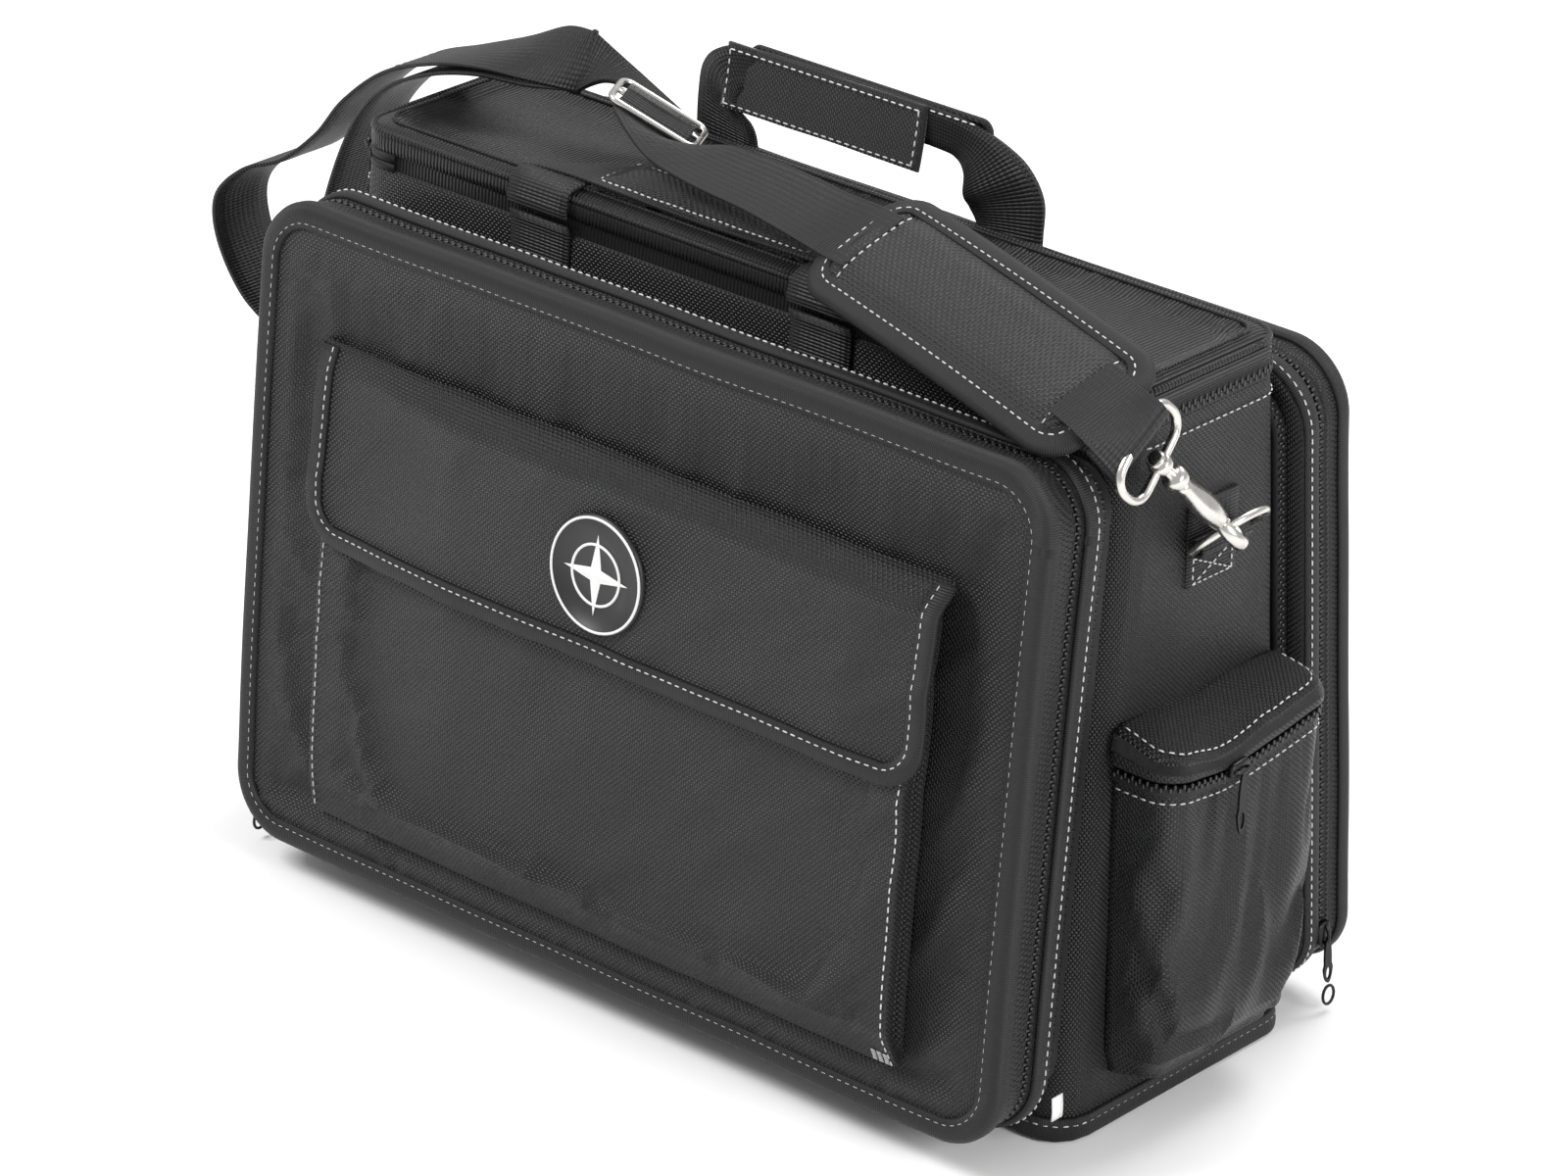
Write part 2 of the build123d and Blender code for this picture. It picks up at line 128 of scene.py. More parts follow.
def weave_height(tree, kind, pitch):
    """Height of the threads, from 0 to 1, out of the cloth's own coordinates in metres."""
    uv = tree.nodes.new("ShaderNodeUVMap")
    uv.uv_map = "cloth"
    split = tree.nodes.new("ShaderNodeSeparateXYZ")
    tree.links.new(uv.outputs[0], split.inputs[0])
    turn = math.pi / (pitch * 0.001)
    x = math_node(tree, "MULTIPLY", split.outputs[0], turn)
    y = math_node(tree, "MULTIPLY", split.outputs[1], turn)
    if kind == "twill":
        chevron = math_node(tree, "PINGPONG", y, math.pi * 5)
        wave = math_node(tree, "SINE", math_node(tree, "ADD", x, chevron))
        return math_node(tree, "ABSOLUTE", wave)
    if kind == "rib":
        return math_node(tree, "ABSOLUTE", math_node(tree, "SINE", x))
    if kind == "weft":
        cross = math_node(tree, "ABSOLUTE", math_node(tree, "SINE", x))
        along = math_node(tree, "ABSOLUTE", math_node(tree, "SINE", math_node(tree, "MULTIPLY", y, 0.5)))
        return math_node(tree, "ADD", math_node(tree, "MULTIPLY", cross, 0.7),
                         math_node(tree, "MULTIPLY", along, 0.3))
    sx = math_node(tree, "SINE", x)
    sy = math_node(tree, "SINE", y)
    over = math_node(tree, "GREATER_THAN", math_node(tree, "MULTIPLY", sx, sy), 0.0)
    mix = tree.nodes.new("ShaderNodeMix")
    tree.links.new(over, mix.inputs["Factor"])
    tree.links.new(math_node(tree, "ABSOLUTE", sx), mix.inputs["A"])
    tree.links.new(math_node(tree, "ABSOLUTE", sy), mix.inputs["B"])
    slant = math_node(tree, "SINE", math_node(tree, "ADD", x, y))
    band = math_node(tree, "ADD", math_node(tree, "MULTIPLY", slant, 0.3), 0.7)
    return math_node(tree, "MULTIPLY", mix.outputs["Result"], band)


def noise_over(tree, scale, detail=2):
    """Noise over the piece's own coordinates."""
    where = tree.nodes.new("ShaderNodeTexCoord")
    texture = tree.nodes.new("ShaderNodeTexNoise")
    texture.inputs["Scale"].default_value = scale
    texture.inputs["Detail"].default_value = detail
    tree.links.new(where.outputs["Object"], texture.inputs["Vector"])
    return texture.outputs[0]


def set_colour(tree, shader, dark, light, factor):
    """Base colour between two tones."""
    mix = tree.nodes.new("ShaderNodeMix")
    mix.data_type = "RGBA"
    mix.inputs["A"].default_value = (*dark, 1)
    mix.inputs["B"].default_value = (*light, 1)
    tree.links.new(factor, mix.inputs["Factor"])
    tree.links.new(mix.outputs["Result"], shader.inputs["Base Color"])


def set_relief(tree, shader, height, strength, distance):
    """Fine surface relief, its distance in metres."""
    bump_node = tree.nodes.new("ShaderNodeBump")
    bump_node.inputs["Strength"].default_value = strength
    bump_node.inputs["Distance"].default_value = distance
    tree.links.new(height, bump_node.inputs["Height"])
    tree.links.new(bump_node.outputs[0], shader.inputs["Normal"])


def cloth(name, colour, kind="plain", pitch=1.2, bump=0.5, rough=0.5, sheen=0.03, spread=0.6):
    """Woven cloth: threads in relief, with a painted highlight that makes their crowns lighter in colour,
    slow random variation of tone, and a fine grain in the relief.
    """
    material, tree, shader = new_material(name)
    height = weave_height(tree, kind, pitch)
    slow = noise_over(tree, 14, 5)
    fine = noise_over(tree, 900)
    # painted highlight: the base colour is lighter on the thread crowns (by weave height), mixed with slow
    # random tone
    crown_highlight_and_tone = math_node(tree, "MULTIPLY", height, 0.55)
    crown_highlight_and_tone = math_node(tree, "ADD", crown_highlight_and_tone, math_node(tree, "MULTIPLY", slow, 0.45))
    set_colour(tree, shader, [c * (1 - spread) for c in colour], [min(1, c * (1 + spread)) for c in colour],
               crown_highlight_and_tone)
    threads = math_node(tree, "ADD", height, math_node(tree, "MULTIPLY", fine, 0.25))
    set_relief(tree, shader, threads, bump, pitch * 0.0004)
    grain = math_node(tree, "MULTIPLY", slow, 0.16)
    tree.links.new(math_node(tree, "ADD", grain, rough - 0.08), shader.inputs["Roughness"])
    shader.inputs["Sheen Weight"].default_value = sheen
    shader.inputs["Sheen Roughness"].default_value = 0.45
    shader.inputs["Specular IOR Level"].default_value = 0.32
    return material


def metal(name, colour, rough, grain=0.12):
    """Plated metal with fine wear: small changes of gloss and a faint brushed relief."""
    material, tree, shader = new_material(name)
    spots = noise_over(tree, 260, 4)
    dull = math_node(tree, "MULTIPLY", spots, grain * 2)
    tree.links.new(math_node(tree, "ADD", dull, rough - grain), shader.inputs["Roughness"])
    set_colour(tree, shader, [c * 0.82 for c in colour], colour, spots)
    set_relief(tree, shader, spots, 0.12, 0.0002)
    shader.inputs["Metallic"].default_value = 1
    return material


def moulded(name, colour, rough):
    """Moulded rubber or plastic with a fine grain."""
    material, tree, shader = new_material(name)
    grain = noise_over(tree, 1400)
    set_colour(tree, shader, [c * 0.85 for c in colour], colour, grain)
    set_relief(tree, shader, grain, 0.2, 0.0002)
    shader.inputs["Roughness"].default_value = rough
    return material


NYLON = cloth("coarse_nylon", (0.0068, 0.0068, 0.0075), pitch=1.4, bump=1.0, rough=0.40, spread=0.9)
RIBBED = cloth("ribbed_nylon", (0.0060, 0.0060, 0.0066), kind="rib", pitch=2.2, bump=1.0, rough=0.36,
               spread=0.9)
PADDING = cloth("pad_nylon", (0.0165, 0.0165, 0.0175), pitch=1.9, bump=1.0, rough=0.42, spread=0.9)
WEB = cloth("webbing", (0.0080, 0.0080, 0.0087), kind="weft", pitch=1.7, bump=1.0, rough=0.48, spread=0.9)
TAPE = cloth("binding_tape", (0.0065, 0.0065, 0.007), kind="rib", pitch=1.1, bump=0.6, rough=0.55,
             spread=0.8)
ZIP_TAPE = cloth("zip_tape", (0.0050, 0.0050, 0.0055), kind="twill", pitch=0.9, bump=0.4, rough=0.6)
LINING = cloth("lining", (0.030, 0.031, 0.034), pitch=0.9, bump=0.3, rough=0.7)
PILE = cloth("loop_pile", (0.012, 0.012, 0.0125), pitch=1.3, bump=1.0, rough=0.95, sheen=0.3, spread=0.7)
LABEL = cloth("label_cloth", (0.75, 0.75, 0.73), pitch=0.5, bump=0.2, rough=0.8, spread=0.05)
THREAD = cloth("thread", (0.52, 0.52, 0.51), kind="rib", pitch=0.5, bump=0.3, rough=0.75, spread=0.15)
NICKEL = metal("nickel", (0.66, 0.64, 0.61), 0.25)
LACQUER = metal("black_lacquer", (0.035, 0.035, 0.036), 0.38)
COIL = moulded("coil", (0.014, 0.014, 0.015), 0.33)
RUBBER = moulded("badge_rubber", (0.012, 0.012, 0.013), 0.45)
PALE = moulded("badge_print", (0.72, 0.72, 0.71), 0.5)


# ---------------------------------------------------------------- mesh helpers
def build(name, points, faces, material, body, cloth_uv=None, thick=0.0, replaces=(), smooth=True,
          outward=False):
    """A mesh piece from points in millimetres, riding on a body."""
    mesh = bpy.data.meshes.new(name)
    mesh.from_pydata([tuple(Vector(p) * 0.001) for p in points], [], faces)
    mesh.validate()
    if outward:
        shape = bmesh.new()
        shape.from_mesh(mesh)
        bmesh.ops.recalc_face_normals(shape, faces=shape.faces)
        shape.to_mesh(mesh)
        shape.free()
    if cloth_uv:
        layer = mesh.uv_layers.new(name="cloth")
        flat = []
        for loop in mesh.loops:
            flat.extend(c * 0.001 for c in cloth_uv[loop.vertex_index])
        layer.data.foreach_set("uv", flat)
    mesh.polygons.foreach_set("use_smooth", [smooth] * len(mesh.polygons))
    obj = bpy.data.objects.new(name, mesh)
    bpy.context.scene.collection.objects.link(obj)
    mesh.materials.append(material)
    if thick:
        shell = obj.modifiers.new("thickness", "SOLIDIFY")
        shell.thickness = thick * 0.001
        shell.offset = -1
    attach(obj, body)
    if replaces:
        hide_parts(*replaces)
    return obj


def cross_fold(obj, start):
    """Takes a piece that build() gave to one body off that body again, baking its placement into its points.
    """
    obj.parent = None
    if "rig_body" in obj:
        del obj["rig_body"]
    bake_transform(obj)


def strip_faces(rows, columns, closed=False, start=0, flip=False):
    """Quads over rows of points laid one after another."""
    faces = []
    for i in range(rows - 1):
        for j in range(columns if closed else columns - 1):
            a = start + i * columns + j
            b = start + i * columns + (j + 1) % columns
            quad = (a, b, b + columns, a + columns)
            faces.append(quad[::-1] if flip else quad)
    return faces


def wave(x, y, seed, size):
    """Smooth noise from -1 to 1 over a sheet."""
    return noise.noise(Vector((x / size, y / size, seed)))


def smoothstep(low, high, x):
    t = max(0.0, min(1.0, (x - low) / (high - low)))
    return t * t * (3 - 2 * t)


def front(u, w, v):
    """The front case's own frame: u along the bag, w out from the body, v up the slope."""
    c, s = math.cos(TILT), math.sin(TILT)
    return Vector((u, -BASE_HALF - w * c + v * s, w * s + v * c))


def rear(u, w, v):
    """The rear case's frame: the front one turned half round."""
    p = front(-u, w, v)
    return Vector((p.x, -p.y, p.z))


def soft_case(place, seed):
    """A case's frame with the slow waves of soft cloth, stronger away from the body."""
    def at(u, w, v):
        k = smoothstep(0, 30, w)
        du = 1.3 * wave(v, w * 0.3, seed, 85) * k
        dv = 1.3 * wave(u, w * 0.3, seed + 4, 95) * k
        dw = 1.5 * wave(u, v, seed + 9, 120) * k
        return place(u + du, w + dw, v + dv)
    return at


front_at = soft_case(front, 3.1)
rear_at = soft_case(rear, 27.7)


def outline(a, b, r, centre=(0, 0), step=4.0):
    """Points round a rounded rectangle: (x, y, outward x, outward y, length so far)."""
    corners = ((a - r, b - r, 0), (-(a - r), b - r, 90), (-(a - r), -(b - r), 180), (a - r, -(b - r), 270))
    raw = []
    for x, y, turn in corners:
        count = max(6, int(r * math.pi / 2 / 3))
        for i in range(count + 1):
            t = math.radians(turn + 90 * i / count)
            raw.append((x + r * math.cos(t), y + r * math.sin(t), math.cos(t), math.sin(t)))
    points = []
    length = 0.0
    for i, (x, y, nx, ny) in enumerate(raw):
        x2, y2, nx2, ny2 = raw[(i + 1) % len(raw)]
        run = math.hypot(x2 - x, y2 - y)
        count = max(1, round(run / step))
        for k in range(count):
            t = k / count
            mx, my = nx + (nx2 - nx) * t, ny + (ny2 - ny) * t
            size = math.hypot(mx, my)
            px, py = x + (x2 - x) * t, y + (y2 - y) * t
            points.append((px + centre[0], py + centre[1], mx / size, my / size, length + run * t))
        length += run
    return points


def case_outline(step=4.0):
    return outline(CASE_A, CASE_B, CASE_R, (0, CASE_V), step)


def sweep_ring(at, profile, ring):
    """A closed band: each profile point is (outwards from the outline, w)."""
    points, uv = [], []
    across = 0.0
    last = None
    for off, w in profile:
        if last:
            across += math.hypot(off - last[0], w - last[1])
        last = (off, w)
        for u, v, nu, nv, s in ring:
            points.append(at(u + nu * off, w, v + nv * off))
            uv.append((s, across))
    return points, strip_faces(len(profile), len(ring), closed=True), uv


def dashes(name, lines, body, length=3.3, gap=1.5, width=0.85, height=0.55):
    """Stitches: each line is a list of (point, outward direction) close together."""
    points, faces, uv = [], [], []
    for line in lines:
        travelled, target = 0.0, gap
        pieces = []
        for (p, n), (q, _) in zip(line, line[1:]):
            run = (q - p).length
            while run > 1e-6 and target <= travelled + run:
                t = (target - travelled) / run
                pieces.append((p.lerp(q, t), (q - p).normalized(), n))
                target += length + gap
            travelled += run
        for p, along, n in pieces:
            n = (n - along * n.dot(along)).normalized()
            side = along.cross(n)
            start = len(points)
            half = length / 2
            points.append(p - along * half - n * 0.2)
            for k in (-0.32, 0.32):
                for a, b in ((1, 0), (0, 1), (-1, 0), (0, -0.5)):
                    points.append(p + along * (length * k) + side * (a * width / 2) + n * (b * height))
            points.append(p + along * half - n * 0.2)
            for j in range(4):
                m = (j + 1) % 4
                faces.append((start, start + 1 + m, start + 1 + j))
                faces.append((start + 1 + j, start + 1 + m, start + 5 + m, start + 5 + j))
                faces.append((start + 5 + j, start + 5 + m, start + 9))
            uv += [(k * 0.4, j * 0.3) for j, k in enumerate(range(10))]
    return build(name, points, faces, THREAD, body, uv)


def teeth(name, line, body, width=5.0, pitch=2.1):
    """A zip coil: paired rounded turns set across the line of (point, outward, across)."""
    points, faces = [], []
    travelled, target, number = 0.0, 0.0, 0
    for (p, n, side), (q, _, _) in zip(line, line[1:]):
        run = (q - p).length
        while run > 1e-6 and target <= travelled + run:
            centre = p.lerp(q, (target - travelled) / run)
            along = (q - p).normalized()
            shift = side * (0.9 if number % 2 else -0.9)
            start = len(points)
            section = ((-0.8, 0.0), (-0.45, 1.1), (0.45, 1.1), (0.8, 0.0))
            for end, size in ((-1, 0.7), (-0.8, 1.0), (0.8, 1.0), (1, 0.7)):
                for x, h in section:
                    place = along * (x * size) + side * (end * width / 2 - end * 0.9) + n * (h * size)
                    points.append(centre + shift + place)
            faces += strip_faces(4, 4, closed=True, start=start)
            faces.append(tuple(start + k for k in (3, 2, 1, 0)))
            faces.append(tuple(start + 12 + k for k in range(4)))
            target += pitch
            number += 1
        travelled += run
    return build(name, points, faces, COIL, body)


def curve_between(a, b, c, d, t):
    """A point on the smooth curve from b to c, with neighbours a and d."""
    return 0.5 * ((2 * b) + (c - a) * t + (2 * a - 5 * b + 4 * c - d) * t * t
                  + (3 * b - a - 3 * c + d) * t ** 3)


def spline(points, count):
    """Evenly spread points along a smooth line through the given ones."""
    pts = [Vector(p) for p in points]
    pts = [pts[0] * 2 - pts[1]] + pts + [pts[-1] * 2 - pts[-2]]
    dense = []
    for a, b, c, d in zip(pts, pts[1:], pts[2:], pts[3:]):
        for k in range(16):
            t = k / 16
            dense.append(curve_between(a, b, c, d, t))
    dense.append(pts[-2])
    lengths = [0.0]
    for a, b in zip(dense, dense[1:]):
        lengths.append(lengths[-1] + (b - a).length)
    result, i = [], 0
    for k in range(count):
        want = lengths[-1] * k / (count - 1)
        while i < len(dense) - 2 and lengths[i + 1] < want:
            i += 1
        span = lengths[i + 1] - lengths[i]
        t = (want - lengths[i]) / span if span > 1e-9 else 0
        result.append((dense[i].lerp(dense[i + 1], t), want, (i + t) / 16))
    return result


def capped(rows, columns):
    """Faces of a closed tube of rings, with both ends filled."""
    faces = strip_faces(rows, columns, closed=True)
    faces.append(tuple(range(columns - 1, -1, -1)))
    faces.append(tuple((rows - 1) * columns + k for k in range(columns)))
    return faces


# a woven strip's cross-section: (share of half the width, share of the thickness)
WEB_SECTION = ((-1, -0.4), (-0.97, 0.5), (-0.5, 0.55), (0, 0.5), (0.5, 0.55), (0.97, 0.5), (1, -0.4),
               (0.97, -0.5), (0, -0.5), (-0.97, -0.5))


def ribbon_points(centres, acrosses, width, thick, count=60):
    """A woven strip along smooth centres, with its width direction given at each centre."""
    samples = spline(centres, count)
    rows, uv = [], []
    for i, (p, s, where) in enumerate(samples):
        before = samples[max(0, i - 1)][0]
        after = samples[min(count - 1, i + 1)][0]
        along = (after - before).normalized()
        k = min(int(where), len(centres) - 2)
        side = Vector(acrosses[k]).lerp(Vector(acrosses[k + 1]), smoothstep(0, 1, where - k))
        side = (side - along * side.dot(along)).normalized()
        up = side.cross(along)
        half = width / 2
        for a, b in WEB_SECTION:
            rows.append(p + side * (a * half) + up * (b * thick))
            uv.append((s, a * half))
    return rows, capped(count, len(WEB_SECTION)), uv


def ribbon(name, centres, acrosses, body, replaces=(), width=WEBBING - 0.5, thick=1.9, count=60):
    """A piece of webbing along smooth centres."""
    rows, faces, uv = ribbon_points(centres, acrosses, width, thick, count)
    build(name, rows, faces, WEB, body, uv, replaces=replaces)


def strip(name, edge_a, edge_b, body, replaces=(), thick=2.0, count=90, dish=0.0):
    """A woven strip between two edges that are given point by point, so that it can fold and twist."""
    def smooth(pts, t):
        k = min(int(t), len(pts) - 2)
        x = t - k
        b, c = Vector(pts[k]), Vector(pts[k + 1])
        a = Vector(pts[k - 1]) if k else b * 2 - c
        d = Vector(pts[k + 2]) if k + 2 < len(pts) else c * 2 - b
        return curve_between(a, b, c, d, x)
    total = len(edge_a) - 1
    rows, uv, run = [], [], 0.0
    last = None
    for i in range(count):
        t = total * i / (count - 1)
        a, b = smooth(edge_a, t), smooth(edge_b, t)
        low, high = max(0.0, t - 0.05), min(total, t + 0.05)
        along = (smooth(edge_a, high) + smooth(edge_b, high) - smooth(edge_a, low) - smooth(edge_b, low))
        side = (b - a).normalized()
        up = side.cross(along.normalized())
        up = up.normalized() if up.length > 1e-4 else Vector((0, 0, 1))
        middle = (a + b) / 2
        run += (middle - last).length if last is not None else 0
        last = middle
        half = (b - a).length / 2
        for x, h in WEB_SECTION:
            rows.append(middle + side * (x * half) + up * (h * thick + dish * (1 - x * x)))
            uv.append((run, x * (WEBBING / 2)))
    build(name, rows, capped(count, len(WEB_SECTION)), WEB, body, uv, replaces=replaces)


def rounded_grid(a, b, r, step):
    """Points (x, y) in rows over a rounded rectangle, and the border's indices in order."""
    def ticks(half):
        inner = half - r
        count = max(2, round(2 * inner / step))
        corner = max(3, round(r / step))
        left = [-half + r * k / corner for k in range(corner)]
        middle = [-inner + 2 * inner * k / count for k in range(count + 1)]
        return left + middle + [-x for x in reversed(left)]
    xs, ys = ticks(a), ticks(b)
    points = []
    for y in ys:
        for x in xs:
            s, t = max(0.0, (abs(x) - (a - r)) / r), max(0.0, (abs(y) - (b - r)) / r)
            px, py = x, y
            if s > 0 and t > 0:
                px = math.copysign(a - r + r * s * math.sqrt(1 - t * t / 2), x)
                py = math.copysign(b - r + r * t * math.sqrt(1 - s * s / 2), y)
            points.append((px, py))
    nx, ny = len(xs), len(ys)
    border = [i for i in range(nx)] + [nx * j + nx - 1 for j in range(1, ny)]
    border += [nx * (ny - 1) + i for i in range(nx - 2, -1, -1)] + [nx * j for j in range(ny - 2, 0, -1)]
    return points, nx, ny, border


def edge_distance(x, y, a, b, r):
    """How far inside a rounded rectangle's edge a point is."""
    qx, qy = abs(x) - (a - r), abs(y) - (b - r)
    outside = math.hypot(max(qx, 0), max(qy, 0)) + min(max(qx, qy), 0) - r
    return max(0.0, -outside)


def cover(name, at, size, centre, height, skirt, material, body, thick=2.0, replaces=(), step=6.0,
          flip=False):
    """A face over a rounded rectangle with a skirt of rings below its edge.
    at(x, h, y) places a point, height(x, y) is the face's h, skirt lists (outwards, h)."""
    a, b, r = size
    grid, nx, ny, border = rounded_grid(a, b, r, step)
    points = [at(x + centre[0], height(x + centre[0], y + centre[1]), y + centre[1]) for x, y in grid]
    uv = [(x, y) for x, y in grid]
    faces = strip_faces(ny, nx, flip=flip)
    ring = border
    loop = []
    for i in border:
        x, y = grid[i]
        dx, dy = x - max(-(a - r), min(a - r, x)), y - max(-(b - r), min(b - r, y))
        length = math.hypot(dx, dy) or 1.0
        loop.append((x, y, dx / length, dy / length))
    for number, rule in enumerate(skirt):
        start = len(points)
        for x, y, dx, dy in loop:
            off, h = rule(x + centre[0], y + centre[1]) if callable(rule) else rule
            drop = 4.0 * (number + 1)
            points.append(at(x + dx * off + centre[0], h, y + dy * off + centre[1]))
            uv.append((x + dx * drop, y + dy * drop))
        new = list(range(start, start + len(loop)))
        for k in range(len(loop)):
            m = (k + 1) % len(loop)
            quad = (ring[k], new[k], new[m], ring[m])
            faces.append(quad[::-1] if flip else quad)
        ring = new
    return build(name, points, faces, material, body, uv, thick=thick, replaces=replaces)


def settle(obj, free, frames=14, gravity=0.0, grow=0.02, cap=5.0):
    """Cloth simulation of one piece: points with free(point) 0 stay put, the cloth is cut a
    little large so that it wrinkles, and no point moves further than cap millimetres."""
    mesh = obj.data
    rest = [v.co.copy() for v in mesh.vertices]
    group = obj.vertex_groups.new(name="held")
    for i, co in enumerate(rest):
        group.add([i], 1.0 - free(co * 1000), "REPLACE")
    others = list(obj.modifiers)
    for m in others:
        m.show_viewport = False
    modifier = obj.modifiers.new("cloth", "CLOTH")
    settings = modifier.settings
    settings.quality = 5
    settings.mass = 0.4
    settings.tension_stiffness = 20
    settings.compression_stiffness = 12
    settings.bending_stiffness = 2.0
    settings.vertex_group_mass = "held"
    settings.shrink_min = -grow
    settings.effector_weights.gravity = gravity
    modifier.point_cache.frame_start = 1
    modifier.point_cache.frame_end = frames
    scene = bpy.context.scene
    for number in range(1, frames + 1):
        scene.frame_set(number)
    evaluated = obj.evaluated_get(bpy.context.evaluated_depsgraph_get())
    moved = [v.co.copy() for v in evaluated.data.vertices]
    obj.modifiers.remove(modifier)
    for m in others:
        m.show_viewport = True
    for vertex, start, end in zip(mesh.vertices, rest, moved):
        shift = end - start
        if shift.length > cap * 0.001:
            shift = shift.normalized() * cap * 0.001
        vertex.co = start + shift
    obj.vertex_groups.clear()
    mesh.update()
    scene.frame_set(1)


def line_normals(at, pts, lift=0.3):
    """Turns (u, w, v, (du, dw, dv)) into points with an outward direction."""
    result = []
    for u, w, v, (du, dw, dv) in pts:
        p = at(u, w, v)
        q = at(u + du, w + dw, v + dv)
        n = (q - p).normalized()
        result.append((p + n * lift, n))
    return result


# ---------------------------------------------------------------- front and rear cases
def crease(u, v, seed):
    """Soft diagonal creases, strongest near the upper corners."""
    along = (u * 0.75 + v * 0.66)
    across = (u * 0.66 - v * 0.75)
    ridge = 1 - abs(noise.noise(Vector((across / 38, along / 150, seed))))
    corner = smoothstep(60, 230, abs(u)) * smoothstep(120, 300, v) + 0.35
    return (ridge ** 3 - 0.5) * corner


def make_face(depth, seed, puff):
    """Height of a case's outer panel, rounded down towards its bound edge."""
    def face(u, v):
        d = edge_distance(u, v - CASE_V, CASE_A, CASE_B, CASE_R)
        x, y = u / CASE_A, (v - CASE_V) / CASE_B
        crown = max(0.0, (1 - x ** 4) * (1 - y ** 4))
        inside = smoothstep(9, 40, d)
        pinch = 0.9 * math.exp(-((d - 9.5) / 4) ** 2)
        return (depth["out"] - 2.0 * math.exp(-d / 2.5) - pinch + puff * crown
                + inside * (2.6 * crease(u, v, seed) + 0.9 * wave(u, v, seed + 2, 34)))
    return face


def binding_profile(out, drop):
    """Folded tape over a panel's edge, from the face round to the side."""
    return [(-9.6, out - 1.8), (-9.2, out + 0.1), (-6.5, out + 0.5), (-3, out + 0.6), (-0.6, out),
            (1.0, out - 1.4), (1.7, out - 3.4), (1.6, out - drop), (1.0, out - drop - 0.9),
            (0.0, out - drop - 1.0)]


def ring_line(at, off, w, toward, step=3.0):
    """A closed run of (point, outward) round the case outline."""
    pts = []
    ring = case_outline(step)
    for u, v, nu, nv, s in ring + ring[:1]:
        du, dw = toward
        pts.append((u + nu * off, w, v + nv * off, (nu * du, dw, nv * du)))
    return line_normals(at, pts)


def tape_ring(name, at, body, w_low, w_high, off, replaces):
    """Zip tape round a case, between two distances from the body."""
    profile = [(off - 1.5, w_low), (off - 0.2, w_low + 0.4), (off, (w_low + w_high) / 2),
               (off - 0.2, w_high - 0.4), (off - 1.5, w_high)]
    points, faces, uv = sweep_ring(at, profile, case_outline(5))
    build(name, points, faces, ZIP_TAPE, body, uv, thick=1.0, replaces=replaces)


def coil_ring(name, at, body, off, w):
    line = []
    ring = case_outline(3)
    for u, v, nu, nv, s in ring + ring[:1]:
        p = at(u + nu * off, w, v + nv * off)
        n = (at(u + nu * (off + 1), w, v + nv * (off + 1)) - p).normalized()
        side = (at(u + nu * off, w + 1, v + nv * off) - p).normalized()
        line.append((p, n, side))
    return teeth(name, line, body)


def case(name, at, depth, seed, panel_body, puff):
    face = make_face(depth, seed, puff)
    out = depth["out"]
    edge = out - 2.0

    panel = cover(name + "_panel", at, (CASE_A, CASE_B, CASE_R), (0, CASE_V), face,
                  [(0.2, edge - 2), (0.1, (edge + depth["panel"]) / 2), (-0.2, depth["panel"] + 0.6),
                   (-5.5, depth["mid"] + 0.7)],
                  NYLON, panel_body, thick=2.2, step=6,
                  replaces=[name + "_case_panel"])
    def free(p):
        v = p.z
        d = edge_distance(p.x, v - CASE_V, CASE_A, CASE_B, CASE_R)
        outer = abs(p.y) > half_depth(p.z) + out - 9
        return smoothstep(10, 35, d) if outer else 0.0
    settle(panel, free, frames=12, grow=0.015, gravity=0.3, cap=3.2)

    points, faces, uv = sweep_ring(at, binding_profile(out, 6.5), case_outline(4))
    build(name + "_edge_tape", points, faces, TAPE, panel_body, uv, thick=0.8,
          replaces=[name + "_panel_binding"])
    dashes(name + "_edge_stitch", [ring_line(at, -7.2, out + 0.5, (0.0, 1))], panel_body)

    tape_ring(name + "_tape_outer", at, panel_body, depth["mid"] + 0.5, depth["panel"] + 1.5, -0.9,
              replaces=[name + "_zip_outer"])
    tape_ring(name + "_tape_inner", at, "case", depth["zip"] - 1.5, depth["mid"] - 0.5, -0.9,
              replaces=[name + "_zip_inner"])
    coil_ring(name + "_coil", at, "case", -1.3, depth["mid"])

    cover(name + "_back", at, (CASE_A, CASE_B, CASE_R), (0, CASE_V),
          lambda u, v: depth["back"] + 0.5,
          [(0.0, depth["back"] + 2), (0.2, (depth["back"] + depth["zip"]) / 2), (-0.3, depth["zip"] - 0.5)],
          NYLON, "case", thick=-2.4, step=12, replaces=[name + "_case_back"])

    z = depth["zip"]
    lip = [(-0.4, z - 10), (1.0, z - 9.8), (2.3, z - 7), (2.6, z - 4), (2.2, z - 1.2), (0.8, z - 0.3),
           (-0.5, z - 0.5)]
    points, faces, uv = sweep_ring(at, lip, case_outline(4))
    build(name + "_back_tape", points, faces, TAPE, "case", uv, thick=0.8,
          replaces=[name + "_back_binding"])
    dashes(name + "_back_stitch", [ring_line(at, 2.2, z - 7.2, (1, 0.1))], "case")

    gusset = [(-13, 0.4), (-8.5, 1.2), (-8.0, depth["back"] / 2), (-8.5, depth["back"] - 1),
              (-13, depth["back"] - 0.3)]
    points, faces, uv = sweep_ring(at, gusset, case_outline(5))
    build(name + "_gusset", points, faces, ZIP_TAPE, "case", uv, thick=1.2,
          replaces=[name + "_attach_zip"])
    coil_ring(name + "_gusset_coil", at, "case", -8.3, depth["back"] / 2)
    return face


def half_depth(z):
    """Half the body's depth at a height."""
    return BASE_HALF - TAPER * z / SEAM_Z


front_face = case("front", front_at, FRONT, 11.3, "front_panel", 1.5)
case("rear", rear_at, REAR, 41.9, "rear_panel", 1.0)


